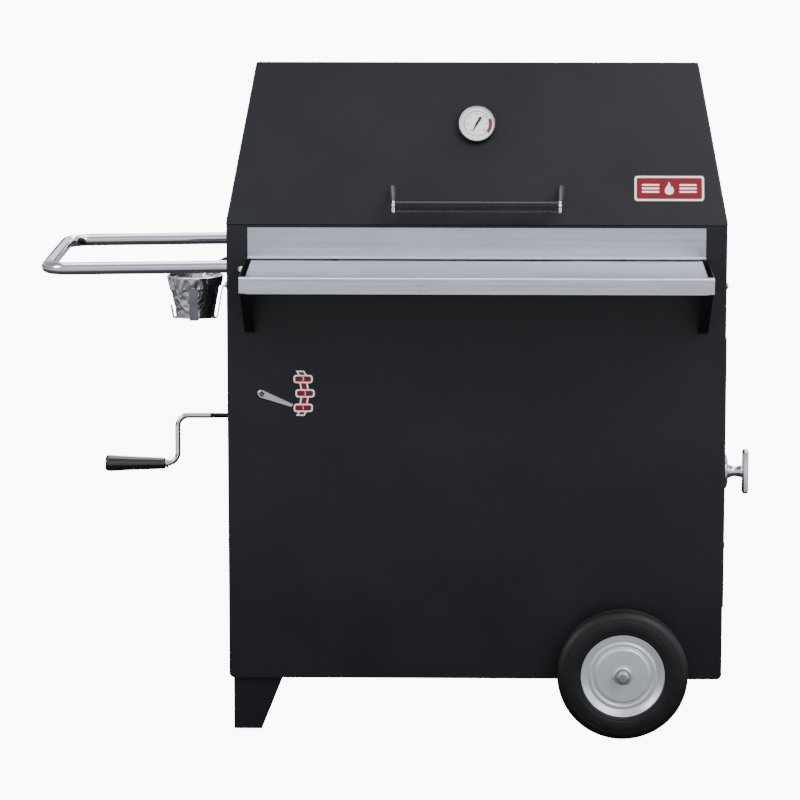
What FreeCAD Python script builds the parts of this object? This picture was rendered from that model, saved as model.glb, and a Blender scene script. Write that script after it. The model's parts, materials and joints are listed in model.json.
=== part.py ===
"""Crank-lift charcoal oven cart: folded sheet-metal cabinet, tilting hood, fire door and lifting firebox.

The frame is +Z up, with +X towards the fire door and the wheels, and -Y towards the front shelf.
The origin lies on the ground under the middle of the whole object.
Inside this file a place is given as (x, s, z): x from the cabinet's middle, s behind its front face.
"""
import FreeCAD, Part
import math
import os

V = FreeCAD.Vector
X, Y, Z = V(1, 0, 0), V(0, 1, 0), V(0, 0, 1)

# ---- Wheels and axle, millimetres
WHEEL_R = 114.0
WHEEL_IN = 174.4            # axle from the cabinet's right face
WHEEL_OUT = 40.0            # wheel's middle plane from the cabinet face
TYRE_W = 44.0
TYRE_ROUND = 13.0
RIM_R = 73.0
RIM_T = 1.5
HUB_R = 13.0
HUB_PROUD = 3.6             # hub end beyond the tyre
AXLE_R = 6.35
NUT_AF, NUT_T = 19.0, 7.0
WASHER_R, WASHER_T = 15.0, 1.6
NUT_FACE = 4.0              # nut seat beyond the tyre
AXLE_UP = 19.0              # axle above the cabinet's bottom edge

# ---- Cabinet
CABINET_W = 860.0
CABINET_D = 470.0
CABINET_BOTTOM = WHEEL_R - AXLE_UP
CABINET_TOP = 892.0
HALF_W = CABINET_W / 2
WALL = 2.0                  # cabinet sheet
BEND = 2.0                  # inside radius of a fold in the cabinet sheet
RETURN = 20.0               # how far the front and rear panels fold round the corners
SEAM = 0.2                  # gap left in a welded or butted seam
SIDE_STEP = 5.0             # joggle of a side panel behind the folded corners
CORNER_CUT = 6.0            # lower corners of the front and rear panels
FLOOR_Z = CABINET_BOTTOM + 35.0
FLOOR_EDGE = 15.0           # how far the floor's edges turn down
WALL_SCREW_Z = CABINET_TOP - 104.5
CLEAR = 0.3                 # loose clearance between pieces that only pass each other
RUN = 0.08                  # radial clearance of a running fit

# ---- Hood
HOOD_SHEET = 1.6
HOOD_GAP = 1.2              # hood rim above the cabinet top
HOOD_LIP = 1.0              # hood rim outside the cabinet side
RIDGE_Z = CABINET_TOP + 273.0
RIDGE_S = 88.0
RIDGE_IN = 50.0             # how far each side leans in up to the ridge
REAR_RIDGE_Z = CABINET_TOP + 235.0
REAR_RIDGE_S = CABINET_D - 75.0
HOOD_ROUND = 3.0

# ---- Hood fittings
BAR_R = 10.75
BAR_X = 139.0
BAR_S, BAR_Z = -45.0, CABINET_TOP + 38.0
CAP_T, CAP_LIP = 6.0, 1.75
POST_X = BAR_X + CAP_T
POST_Z = CABINET_TOP + 62.0
POST_R, POST_TIP_R = 5.5, 3.2
GAUGE_Z = CABINET_TOP + 168.0
GAUGE_R = 33.5
GAUGE_DEPTH = 14.0
GAUGE_WALL = 1.2
DIAL_R = GAUGE_R - 3.0
GAUGE_STEM_R, GAUGE_STEM_L = 3.2, 65.0
BADGE_X, BADGE_Z = HALF_W - 100.0, CABINET_TOP + 62.0
BADGE_W, BADGE_H, BADGE_T = 120.0, 45.0, 1.2

# ---- Hood hinge
HINGE_R, HINGE_PIN_R = 4.5, 2.5
HINGE_LEN, HINGE_KNUCKLES = CABINET_W - 160.0, 14
HINGE_LEAF, HINGE_LEAF_T = 28.0, 2.0

# ---- Shelf and splash panel
SHELF_D = 200.0
SHELF_W = CABINET_W - 88.0       # shelf plate
SHELF_LIP_W = SHELF_W + 21.0     # its deep front edge, wider than the plate
SHELF_T = 1.6
SHELF_Z = CABINET_TOP - 58.0
SHELF_FALL = 6.0
SHELF_LIP, SHELF_RETURN = 28.0, 12.0
SPLASH_W, SPLASH_TOP = SHELF_W + 14.0, CABINET_TOP - 4.0
SPLASH_FOOT = 14.0
BRACKET_OUT = SHELF_LIP_W / 2 + 1.5      # outer face of a bracket from the middle
BRACKET_W = 17.0
BRACKET_FOOT = SHELF_Z - 127.0
BRACKET_REACH = SHELF_D - 22.0
BRACKET_TIP, BRACKET_HEEL = 12.0, 8.0

# ---- Drawbar at the left end
DRAWBAR_REACH = 327.0
DRAWBAR_R, DRAWBAR_WALL = 11.0, 2.0
DRAWBAR_Z, DRAWBAR_DROOP = CABINET_TOP - 77.0, 5.0
DRAWBAR_S = 37.0
DRAWBAR_BEND = 42.0
DRAWBAR_BOLT_X = -HALF_W + 25.5
DRAWBAR_END_X = -HALF_W + 45.0
BOLT_R, BOLT_HEAD_R = 4.0, 5.8

# ---- Fire door and latch at the right end
OPENING_S = (40.0, CABINET_D - 50.0)                         # hole in the right panel
OPENING_Z = (CABINET_BOTTOM + 135.0, CABINET_TOP - 212.0)
DOOR_LAP = 12.0                            # how far the door panel laps over the opening's edge
DOOR_T = 2.0
LINER_T, LINER_DEEP, LINER_GAP = 1.5, 12.0, 8.0
DOOR_STAND = 3.2                           # outer face of the door above the wall's outer face
DOOR_HINGE_OUT, DOOR_HINGE_R, DOOR_PIN_R = 7.0, 5.0, 3.0
DOOR_HINGE_S = OPENING_S[1] + DOOR_LAP + DOOR_HINGE_R + 1.0
DOOR_KNUCKLE = 24.0
DOOR_HINGES_Z = (OPENING_Z[0] + 50.0, OPENING_Z[1] - 50.0)
LATCH_S, LATCH_Z = OPENING_S[0] + 20.0, sum(OPENING_Z) / 2 - 1.0
LATCH_REACH = 45.5                         # T-bar's outer face from the wall
ROSE_R, ROSE_OUT = 30.5, 9.0
LATCH_STEM_R = 12.5
TBAR_T, TBAR_H, TBAR_W = 11.0, 78.0, 20.0
LATCH_ROD_R = 5.0
CAM_L, CAM_W, CAM_T = 38.0, 18.0, 3.0
CAM_X = HALF_W + DOOR_STAND - DOOR_T - LINER_DEEP - 1.0      # the cam's face behind the liner
VENT_S, VENT_Z = sum(OPENING_S) / 2 + 5.0, OPENING_Z[0] + 45.0
VENT_PITCH, VENT_N = 26.0, 5
VENT_SLOT_W, VENT_SLOT_H = 11.0, 34.0
VENT_HALF = VENT_PITCH * VENT_N / 2 + 11.0      # half length of the guides
VENT_GAP = 0.3                                  # slide clear of the door
VENT_T, VENT_LAP = 1.5, 10.4

# ---- Legs
LEG_X = HALF_W - 7.0        # outer face of a leg from the middle
LEG_S = 12.0
LEG_T = 3.0
LEG_TOP_W, LEG_FOOT_W = 87.0, 49.0
LEG_SIDE_TOP, LEG_SIDE_FOOT = 80.0, 42.0

# ---- Lift: crank screw, shaft, arms and firebox
SHAFT_X, SHAFT_Z = -HALF_W + 60.0, CABINET_TOP - 293.5
SHAFT_R = 6.0
ARM_L = 200.0
ARM_W, ARM_T = 26.0, 6.0
LIFT_ANGLE = 21.0           # the arms swing this far to each side of level
IDLER_SHIFT = CABINET_W - 360.0          # idler pivots beyond the shaft
ARM_S = 42.0
REAR_ARM_S = CABINET_D - ARM_S - ARM_T
SCREW_DROP = 55.5           # screw below the shaft
SCREW_S = 100.0
SCREW_Z = SHAFT_Z - SCREW_DROP
SCREW_R = 4.75
CRANK_DROP = 86.0
CRANK_X = -HALF_W - 94.0
CRANK_BEND = 20.0
COLLAR_W = 5.0
GRIP_X0 = CRANK_X - 22.0
GRIP_L = 106.0
GRIP_X1 = GRIP_X0 - GRIP_L
GRIP_R0, GRIP_R1 = 9.75, 14.5
NUT_X, NUT_S_SIZE, NUT_Z_SIZE = 18.0, 23.0, 22.0
TRUNNION_R, TRUNNION_L = 4.0, 5.5
SLOT_CLEAR = 0.6
FORK_T = 4.0
YOKE_T, YOKE_W = 3.0, 18.0
YOKE_X0, YOKE_X1 = -HALF_W + 2 * WALL, SHAFT_X + 39.0
POINTER_L, POINTER_W0, POINTER_W1, POINTER_T = 57.0, 15.0, 7.0, 2.5
FIREBOX_X = (SHAFT_X + 58.0, HALF_W - 50.0)              # limits at rest
FIREBOX_S = (ARM_S + ARM_T + 12.0, REAR_ARM_S - 12.0)
FIREBOX_H, FIREBOX_T = 130.0, 2.5
FIREBOX_PIN_DROP = 110.0                   # pins below the firebox rim
FIRE_GRATE_H = 45.0
FIRE_BAR, FIRE_BAR_PITCH = 8.0, 28.0
PIN_R = 6.0
PIN_CLEAR = 0.35                           # the idler ends are free in their holes by this much
PIN_HEAD_T = 3.0

# ---- Cooking grates, trough and drip cup
GRATE_Z = CABINET_TOP - 26.0
RAIL, RAIL_T = 20.0, 2.0
GRATE_GAP = 4.0
CHANNEL_PITCH, CHANNEL_W, CHANNEL_H, CHANNEL_T = 24.0, 17.0, 8.0, 1.5
TROUGH_S, TROUGH_W, TROUGH_H = 190.0, 50.0, 18.0
TROUGH_Z, TROUGH_FALL, TROUGH_T = CABINET_TOP - 60.0, 8.0, 1.5
STRAP_X = HALF_W - 130.0                   # trough straps from the middle
SPOUT_END_X, SPOUT_END_Z = -HALF_W - 31.0, TROUGH_Z - 30.0
CUP_X = -HALF_W - 68.0
CUP_RIM_R, CUP_BASE_R = 50.5, 36.5
CUP_RIM_Z = TROUGH_Z - 51.0
CUP_BASE_Z = CUP_RIM_Z - 76.0
CUP_T = 0.8
STRAP_W, STRAP_T = 15.0, 2.0
STRAP_SHORT, STRAP_TALL = 21.0, 55.0
PLATE_X, PLATE_W, PLATE_T = SHAFT_X + 73.0, 37.0, 0.6
PLATE_Z0, PLATE_Z1 = SHAFT_Z - 39.5, SHAFT_Z + 41.5

# ---- Where the cabinet stands in the frame
AXLE_REACH = WHEEL_OUT + TYRE_W / 2 + NUT_FACE + NUT_T
CENTRE_X = (DRAWBAR_REACH - LATCH_REACH) / 2
FRONT_Y = (SHELF_D - AXLE_REACH) / 2 - CABINET_D / 2
HOOD_BOTTOM = CABINET_TOP + HOOD_GAP
LEAN = math.degrees(math.atan(RIDGE_S / (RIDGE_Z - HOOD_BOTTOM)))
HINGE_S, HINGE_Z = CABINET_D + HINGE_R + 1.5, HOOD_BOTTOM + 1.0
WHEEL_X = HALF_W - WHEEL_IN


def at(x, s, z):
    """A point of the frame from its place on the cabinet."""
    return V(CENTRE_X + x, FRONT_Y + s, z)


def block(x, s, z):
    """A box from its low and high x, s and z."""
    low, high = at(x[0], s[0], z[0]), at(x[1], s[1], z[1])
    return Part.makeBox(high.x - low.x, high.y - low.y, high.z - low.z, low)


def rod(start, end, radius):
    """A round bar from one point to another."""
    return Part.makeCylinder(radius, (end - start).Length, start, end - start)


def prism(corners, run):
    """A flat outline carried along a straight run."""
    return Part.Face(Part.makePolygon(corners + [corners[0]])).extrude(run)


def turned(outline, base, direction):
    """A turned piece: (radius, height) corners spun about a line through base."""
    corners = [V(r, 0, h) for r, h in outline]
    solid = Part.Face(Part.makePolygon(corners + [corners[0]])).revolve(V(), Z, 360)
    solid.Placement = FreeCAD.Placement(base, FreeCAD.Rotation(Z, direction))
    return solid


def rounded(shape, radius, chosen):
    """Rounds the edges that the test picks out."""
    return shape.makeFillet(radius, [e for e in shape.Edges if chosen(e)])


def ring_edge(radius):
    """Picks full circles of one radius."""
    def test(edge):
        return isinstance(edge.Curve, Part.Circle) and abs(edge.Curve.Radius - radius) < 0.01
    return test


def bend_path(points, offset, radius):
    """Edges of a line beside the given one, with each corner an arc about the bend's own centre."""
    runs = [(b - a).normalize() for a, b in zip(points, points[1:])]
    sides = [V(-d.y, d.x, 0) for d in runs]
    here = points[0] + sides[0] * offset
    edges = []
    for corner, before, after, side, next_side in zip(points[1:], runs, runs[1:], sides, sides[1:]):
        hand = math.copysign(1, before.cross(after).z)
        setback = radius * math.tan(before.getAngle(after) / 2)
        centre = corner - before * setback + side * radius * hand
        first = corner - before * setback + side * offset
        last = corner + after * setback + next_side * offset
        middle = centre - (side + next_side).normalize() * hand * (radius - hand * offset)
        edges += [Part.LineSegment(here, first), Part.Arc(first, middle, last)]
        here = last
    edges.append(Part.LineSegment(here, points[-1] + sides[-1] * offset))
    return [e.toShape() for e in edges]


def folded(points, thickness, bend, plane, start, length):
    """A folded sheet: flat points give the middle of its section in plane sz, xz or xs, then extruded."""
    line = [V(a, b, 0) for a, b in points]
    radius = bend + thickness / 2
    left = bend_path(line, thickness / 2, radius)
    right = bend_path(line, -thickness / 2, radius)
    ends = [Part.makeLine(left[0].Vertexes[0].Point, right[0].Vertexes[0].Point),
            Part.makeLine(left[-1].Vertexes[-1].Point, right[-1].Vertexes[-1].Point)]
    section = Part.Face(Part.Wire(Part.__sortEdges__(left + right + ends)))
    corner, across, up, run = {"sz": (at(start, 0, 0), Y, Z, X),
                               "xz": (at(0, start, 0), X, Z, Y),
                               "xs": (at(0, 0, start), X, Y, Z)}[plane]
    third = across.cross(up)
    section.transformShape(FreeCAD.Matrix(across.x, up.x, third.x, corner.x,
                                          across.y, up.y, third.y, corner.y,
                                          across.z, up.z, third.z, corner.z, 0, 0, 0, 1))
    return section.extrude(run * length)


def swept(points, bend, radius):
    """A round bar or tube skin along straight runs joined by tangent arcs."""
    edges = []
    here = points[0]
    for before, corner, after in zip(points, points[1:], points[2:]):
        d0, d1 = (corner - before).normalize(), (after - corner).normalize()
        setback = bend * math.tan(d0.getAngle(d1) / 2)
        first, last = corner - d0 * setback, corner + d1 * setback
        inward = (d1 - d0).normalize()
        centre = corner + inward * (bend / math.cos(d0.getAngle(d1) / 2))
        edges += [Part.LineSegment(here, first), Part.Arc(first, centre - inward * bend, last)]
        here = last
    edges.append(Part.LineSegment(here, points[-1]))
    path = Part.Wire([e.toShape() for e in edges])
    ring = Part.Wire(Part.makeCircle(radius, points[0], points[1] - points[0]))
    return path.makePipeShell([ring], True, False)


def save(node, shapes):
    """Writes one node as one file of separate solids."""
    solids = [s for shape in shapes for s in shape.Solids]
    Part.makeCompound(solids).exportStep("parts/" + node + ".step")
    print(node, len(solids), round(sum(s.Volume for s in solids)))


# ---- Cabinet

def wrap_panel(front):
    """Front or rear panel: a flat face with both ends folded round the corners."""
    mid = WALL / 2
    face, edge = (mid, RETURN) if front else (CABINET_D - mid, CABINET_D - RETURN)
    side = HALF_W - mid
    section = [(-side, edge), (-side, face), (side, face), (side, edge)]
    panel = folded(section, WALL, BEND, "xs", CABINET_BOTTOM, CABINET_TOP - CABINET_BOTTOM)
    for end in (-1, 1):
        corners = [at(end * HALF_W, -1, CABINET_BOTTOM), at(end * (HALF_W - CORNER_CUT), -1, CABINET_BOTTOM),
                   at(end * HALF_W, -1, CABINET_BOTTOM + CORNER_CUT)]
        panel = panel.cut(prism(corners, Y * (CABINET_D + 2)))
    return panel


def side_panel(end):
    """Side panel, stepped in at both edges to lap behind the folded corners."""
    mid = WALL / 2
    outer, inner = end * (HALF_W - mid), end * (HALF_W - WALL - mid)
    first, last = RETURN + SEAM, CABINET_D - RETURN - SEAM
    start = WALL + BEND + 2
    section = [(inner, start), (inner, first + 0.4), (outer, first + SIDE_STEP), (outer, last - SIDE_STEP),
               (inner, last - 0.4), (inner, CABINET_D - start)]
    return folded(section, WALL, 0.6, "xs", CABINET_BOTTOM, CABINET_TOP - CABINET_BOTTOM)


def hole(x, s, z, radius, axis):
    """A drill through one wall."""
    middle = at(x, s, z)
    return rod(middle - axis * 15, middle + axis * 15, radius)


def front_panel():
    drills = [hole(WHEEL_X, 0, WHEEL_R, AXLE_R + CLEAR, Y), hole(SHAFT_X, 0, SHAFT_Z, SHAFT_R + 3, Y),
              hole(DRAWBAR_BOLT_X, 0, drawbar_z(DRAWBAR_BOLT_X), BOLT_R + CLEAR, Y)]
    return wrap_panel(True).cut(drills)


def rear_panel():
    drills = [hole(WHEEL_X, CABINET_D, WHEEL_R, AXLE_R + CLEAR, Y),
              hole(SHAFT_X, CABINET_D, SHAFT_Z, SHAFT_R + 3, Y),
              hole(DRAWBAR_BOLT_X, CABINET_D, drawbar_z(DRAWBAR_BOLT_X), BOLT_R + CLEAR, Y)]
    return wrap_panel(False).cut(drills)


def drawbar_z(x):
    """Height of the drawbar's middle line, which droops away from the wall."""
    return DRAWBAR_Z - DRAWBAR_DROOP * (-HALF_W - x) / DRAWBAR_REACH


def left_panel():
    tubes = [hole(-HALF_W, s, DRAWBAR_Z, DRAWBAR_R + 1, X) for s in (DRAWBAR_S, CABINET_D - DRAWBAR_S)]
    crank = hole(-HALF_W, SCREW_S, SCREW_Z, SCREW_R + 3, X)
    half = TROUGH_W / 2 - 6
    drain = block((-HALF_W - 5, -HALF_W + 12), (TROUGH_S - half, TROUGH_S + half),
                  (TROUGH_Z - 28, TROUGH_Z - 6))
    return side_panel(-1).cut(tubes + [crank, drain])


def right_panel():
    (s0, s1), (z0, z1) = OPENING_S, OPENING_Z
    return side_panel(1).cut(block((HALF_W - 20, HALF_W + 5), (s0, s1), (z0, z1)))


def floor_pan():
    """Ash floor with its edges turned down against the walls."""
    reach = HALF_W - 2 * WALL - SEAM
    mid = WALL / 2
    near = WALL + SEAM + 2
    section = [(-reach + mid, FLOOR_Z - FLOOR_EDGE), (-reach + mid, FLOOR_Z - mid),
               (reach - mid, FLOOR_Z - mid),
               (reach - mid, FLOOR_Z - FLOOR_EDGE)]
    pan = folded(section, WALL, BEND, "xz", near, CABINET_D - 2 * near)
    return pan.cut([leg_room(s) for s in (LEG_S + LEG_T / 2, CABINET_D - LEG_S - LEG_T / 2)])


def leg_room(s):
    """Notch in the floor's left corner above a leg."""
    return block((-LEG_X - 1, -LEG_X + LEG_TOP_W + 3), (s - 8, s + 8),
                 (FLOOR_Z - FLOOR_EDGE - 5, FLOOR_Z + 1))


# ---- Splash panel, shelf and brackets

def splash_panel():
    """Stainless sheet on the front face, turned out along its bottom over the shelf."""
    mid = SHELF_T / 2
    section = [(-mid, SPLASH_TOP), (-mid, SHELF_Z + mid + SHELF_T),
               (-SPLASH_FOOT, SHELF_Z + mid + SHELF_T)]
    return folded(section, SHELF_T, 1.2, "sz", -SPLASH_W / 2, SPLASH_W)


def front_shelf():
    """Stainless plate, front edge turned down and back; that edge is wider and closed at its ends."""
    mid = SHELF_T / 2
    front, top = -SHELF_D + mid, SHELF_Z - SHELF_FALL
    slope = SHELF_FALL / SHELF_D
    plate = [(-SEAM, SHELF_Z - mid), (front, top - mid), (front, top - SHELF_LIP + mid)]
    lap = SHELF_RETURN + 2
    lip = [(front + lap, top - mid + lap * slope), (front, top - mid), (front, top - SHELF_LIP + mid),
           (front + SHELF_RETURN, top - SHELF_LIP + mid)]
    shelf = folded(plate, SHELF_T, 1.4, "sz", -SHELF_W / 2, SHELF_W)
    edge = folded(lip, SHELF_T, 1.4, "sz", -SHELF_LIP_W / 2, SHELF_LIP_W)
    ends = []
    for x in (-SHELF_LIP_W / 2, SHELF_LIP_W / 2 - SHELF_T):
        sides, heights = (front + 1, front + SHELF_RETURN), (top - SHELF_LIP + SHELF_T, top - mid)
        ends.append(block((x, x + SHELF_T), sides, heights))
    return shelf.fuse([edge] + ends)


def bracket(end):
    """Gusset folded from sheet: an outer web, a sloping flange and a flange on the wall."""
    x_out, x_in = end * BRACKET_OUT, end * (BRACKET_OUT - BRACKET_W)
    top = SHELF_Z - SHELF_T - CLEAR
    nose = top - SHELF_FALL * BRACKET_REACH / SHELF_D - SEAM
    t = WALL
    shell = [at(x_out, 0, top), at(x_out, -BRACKET_REACH, nose),
             at(x_out, -BRACKET_REACH, nose - BRACKET_TIP),
             at(x_out, -BRACKET_HEEL, BRACKET_FOOT), at(x_out, 0, BRACKET_FOOT)]
    slope = (nose - BRACKET_TIP - BRACKET_FOOT) / (BRACKET_REACH - BRACKET_HEEL)
    rise = t * math.sqrt(1 + slope ** 2)
    inner = [at(x_in, -t, top + 1), at(x_in, -BRACKET_REACH + t, top + 1),
             at(x_in, -BRACKET_REACH + t, nose - BRACKET_TIP + rise),
             at(x_in, -BRACKET_HEEL, BRACKET_FOOT + rise), at(x_in, -t, BRACKET_FOOT + rise)]
    solid = prism(shell, X * (x_in - x_out))
    hollow = prism([p - X * end for p in inner], X * end * (BRACKET_W - t + 1))
    return solid.cut(hollow)


# ---- Legs, axle and wheels

def leg(front):
    """Tapered angle under one left corner, welded below the floor."""
    hand = 1 if front else -1
    s0 = LEG_S if front else CABINET_D - LEG_S
    top = FLOOR_Z - WALL - BEND - CLEAR
    wide = LEG_TOP_W + (LEG_TOP_W - LEG_FOOT_W) * (top - CABINET_BOTTOM) / CABINET_BOTTOM
    deep = LEG_SIDE_TOP + (LEG_SIDE_TOP - LEG_SIDE_FOOT) * (top - CABINET_BOTTOM) / CABINET_BOTTOM
    face = prism([at(-LEG_X, s0, 0), at(-LEG_X + LEG_FOOT_W, s0, 0), at(-LEG_X + wide, s0, top),
                  at(-LEG_X, s0, top)],
                 Y * LEG_T * hand)
    side = prism([at(-LEG_X, s0, 0), at(-LEG_X, s0 + hand * LEG_SIDE_FOOT, 0),
                  at(-LEG_X, s0 + hand * deep, top),
                  at(-LEG_X, s0, top)], X * LEG_T)
    corner = at(-LEG_X, s0, 0)
    return rounded(face.fuse(side).removeSplitter(), 2.0,
                   lambda e: all(abs(v.X - corner.x) < 0.01 and abs(v.Y - corner.y) < 0.01
                                 for v in e.Vertexes))


def axle():
    return rod(at(WHEEL_X, -AXLE_REACH + 2, WHEEL_R), at(WHEEL_X, CABINET_D + AXLE_REACH - 2, WHEEL_R),
               AXLE_R)


def axle_plates():
    """Doubling plates that carry the axle behind the front and rear panels."""
    plates = []
    for s in (WALL, CABINET_D - WALL - 3):
        plate = block((WHEEL_X - 30, WHEEL_X + 30), (s, s + 3), (CABINET_BOTTOM + 1, FLOOR_Z - WALL - 1))
        plates.append(plate.cut(hole(WHEEL_X, s, WHEEL_R, AXLE_R, Y)))
    return plates


def axle_fittings():
    """Capped hexagon nuts on washers outside the wheels, and spacer sleeves inside them."""
    pieces = []
    for side, s_end in ((-1, 0), (1, CABINET_D)):
        outer = s_end + side * (WHEEL_OUT + TYRE_W / 2 + NUT_FACE)
        sleeve_end = s_end + side * (WHEEL_OUT - TYRE_W / 2 - NUT_FACE - 0.4)
        sleeve = rod(at(WHEEL_X, s_end + side * SEAM, WHEEL_R), at(WHEEL_X, sleeve_end, WHEEL_R), AXLE_R + 4)
        bore = rod(at(WHEEL_X, s_end, WHEEL_R), at(WHEEL_X, outer, WHEEL_R), AXLE_R)
        pieces += [axle_nut(outer, side), sleeve.cut(bore)]
    return pieces


def axle_nut(outer, side):
    """Washer and capped hexagon nut, bored for the axle's end."""
    corner = NUT_AF / math.sqrt(3)
    turns = [math.radians(60 * i) for i in range(6)]
    corners = [at(WHEEL_X + corner * math.cos(a), outer, WHEEL_R + corner * math.sin(a)) for a in turns]
    middle = at(WHEEL_X, outer, WHEEL_R)
    washer = turned([(AXLE_R, 0), (WASHER_R, 0), (WASHER_R, WASHER_T), (AXLE_R, WASHER_T)], middle, Y * side)
    crown = turned([(0, -1), (NUT_AF, -1), (NUT_AF, NUT_T / 2), (NUT_AF / 2 - 2, NUT_T), (0, NUT_T)],
                   middle, Y * side)
    shank = rod(middle - Y * side, middle + Y * side * (NUT_T - 2), AXLE_R)
    return prism(corners, Y * side * NUT_T).common(crown).fuse(washer).cut(shank)


def wheel_face(front):
    """Middle of a wheel and the way it faces outwards."""
    if front:
        return at(WHEEL_X, -WHEEL_OUT, WHEEL_R), Y * -1
    return at(WHEEL_X, CABINET_D + WHEEL_OUT, WHEEL_R), Y


def tyre(front):
    """Semi-pneumatic tyre: a hollow-section ring with rounded shoulders."""
    middle, out = wheel_face(front)
    half = TYRE_W / 2
    ring = turned([(RIM_R, -half + 3), (RIM_R + 10, -half), (WHEEL_R, -half), (WHEEL_R, half),
                   (RIM_R + 10, half),
                   (RIM_R, half - 3)], middle, out)
    return rounded(ring, TYRE_ROUND, ring_edge(WHEEL_R))


def rim(front):
    """Two pressed steel discs, beaded and dished, welded round a hub tube that runs on the axle."""
    middle, out = wheel_face(front)
    half = TYRE_W / 2
    edge = RIM_R - CLEAR
    face = [(HUB_R - 1, half - 7), (RIM_R - 30, half - 7), (RIM_R - 23, half - 11), (RIM_R - 21, half - 11),
            (RIM_R - 17, half - 8), (RIM_R - 13, half - 11.5), (RIM_R - 2, half - 3.5), (edge, half - 3.5)]
    disc = face + [(r, h - RIM_T) for r, h in reversed(face)]
    outer_disc = turned(disc, middle, out)
    inner_disc = turned([(r, -h) for r, h in disc], middle, out)
    band = turned([(edge, -half + 4), (edge, half - 4), (edge - RIM_T, half - 4), (edge - RIM_T, -half + 4)],
                  middle, out)
    end = half + HUB_PROUD
    bore = AXLE_R + RUN
    hub = turned([(bore, -end), (HUB_R, -end), (HUB_R, end), (bore, end)], middle, out)
    return outer_disc.fuse([inner_disc, band, hub]).removeSplitter()


# ---- Drawbar

def drawbar():
    """U-shaped chromed tube with both ends inside the cabinet, drilled for its bolts."""
    far = -HALF_W - DRAWBAR_REACH + DRAWBAR_R
    rear = CABINET_D - DRAWBAR_S
    points = [at(DRAWBAR_END_X, DRAWBAR_S, drawbar_z(DRAWBAR_END_X)), at(far, DRAWBAR_S, drawbar_z(far)),
              at(far, rear, drawbar_z(far)), at(DRAWBAR_END_X, rear, drawbar_z(DRAWBAR_END_X))]
    tube = swept(points, DRAWBAR_BEND, DRAWBAR_R).cut(swept(points, DRAWBAR_BEND, DRAWBAR_R - DRAWBAR_WALL))
    return tube.cut([hole(DRAWBAR_BOLT_X, s, drawbar_z(DRAWBAR_BOLT_X), BOLT_R + CLEAR, Y)
                     for s in (DRAWBAR_S, rear)])


def drawbar_bolts():
    """Dome-headed bolts through the panels and the tube ends, with spacers and nuts."""
    pieces = []
    z = drawbar_z(DRAWBAR_BOLT_X)
    for face, inward, line in ((0, 1, DRAWBAR_S), (CABINET_D, -1, CABINET_D - DRAWBAR_S)):
        dome = [(0, 0), (BOLT_HEAD_R, 0), (BOLT_HEAD_R, 1.5), (BOLT_R + 0.4, 3.2), (0, 4.0)]
        head = turned(dome, at(DRAWBAR_BOLT_X, face, z), Y * -inward)
        far = line + inward * (DRAWBAR_R + 9)
        shank = rod(at(DRAWBAR_BOLT_X, face, z), at(DRAWBAR_BOLT_X, far, z), BOLT_R)
        near = line - inward * (DRAWBAR_R + CLEAR)
        sleeve = rod(at(DRAWBAR_BOLT_X, face + inward * (WALL + 0.1), z), at(DRAWBAR_BOLT_X, near, z),
                     BOLT_R + 4)
        nut = rod(at(DRAWBAR_BOLT_X, line + inward * (DRAWBAR_R + 0.5), z),
                  at(DRAWBAR_BOLT_X, line + inward * (DRAWBAR_R + 6.5), z), BOLT_R + 3)
        pieces.append(head.fuse([shank, sleeve, nut]))
    return pieces


def wall_screws():
    """Pan-head screws in the side walls near the front."""
    head = [(0, 0), (6, 0), (6, 1), (4, 3), (0, 3.6)]
    return [turned(head, at(end * HALF_W, RETURN / 2, WALL_SCREW_Z), X * end) for end in (-1, 1)]


# ---- Hood

def inset(points, steps):
    """Moves each side of a convex outline inwards by its own step and meets the neighbours again."""
    lines = []
    for a, b, step in zip(points, points[1:] + points[:1], steps):
        d = (b - a).normalize()
        lines.append((a + V(-d.y, d.x, 0) * step, d))
    corners = []
    for (p, d), (q, e) in zip(lines[-1:] + lines[:-1], lines):
        along = (q - p).cross(e).z / d.cross(e).z
        corners.append(p + d * along)
    return corners


def hood_block(step, drop):
    """The hood's outside shape, or the space inside its sheet when step is the sheet's thickness."""
    profile = [V(0, HOOD_BOTTOM, 0), V(CABINET_D, HOOD_BOTTOM, 0), V(REAR_RIDGE_S, REAR_RIDGE_Z, 0),
               V(RIDGE_S, RIDGE_Z, 0)]
    rim_half = HALF_W + HOOD_LIP
    end = [V(-rim_half, HOOD_BOTTOM, 0), V(rim_half, HOOD_BOTTOM, 0), V(rim_half - RIDGE_IN, RIDGE_Z, 0),
           V(-rim_half + RIDGE_IN, RIDGE_Z, 0)]
    side_view = [at(-rim_half - 5, p.x, p.y) for p in inset(profile, [-drop, step, step, step])]
    front_view = [at(p.x, -5, p.y) for p in inset(end, [-drop, step, -5, step])]
    return prism(side_view, X * (2 * rim_half + 10)).common(prism(front_view, Y * (CABINET_D + 10)))


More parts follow.
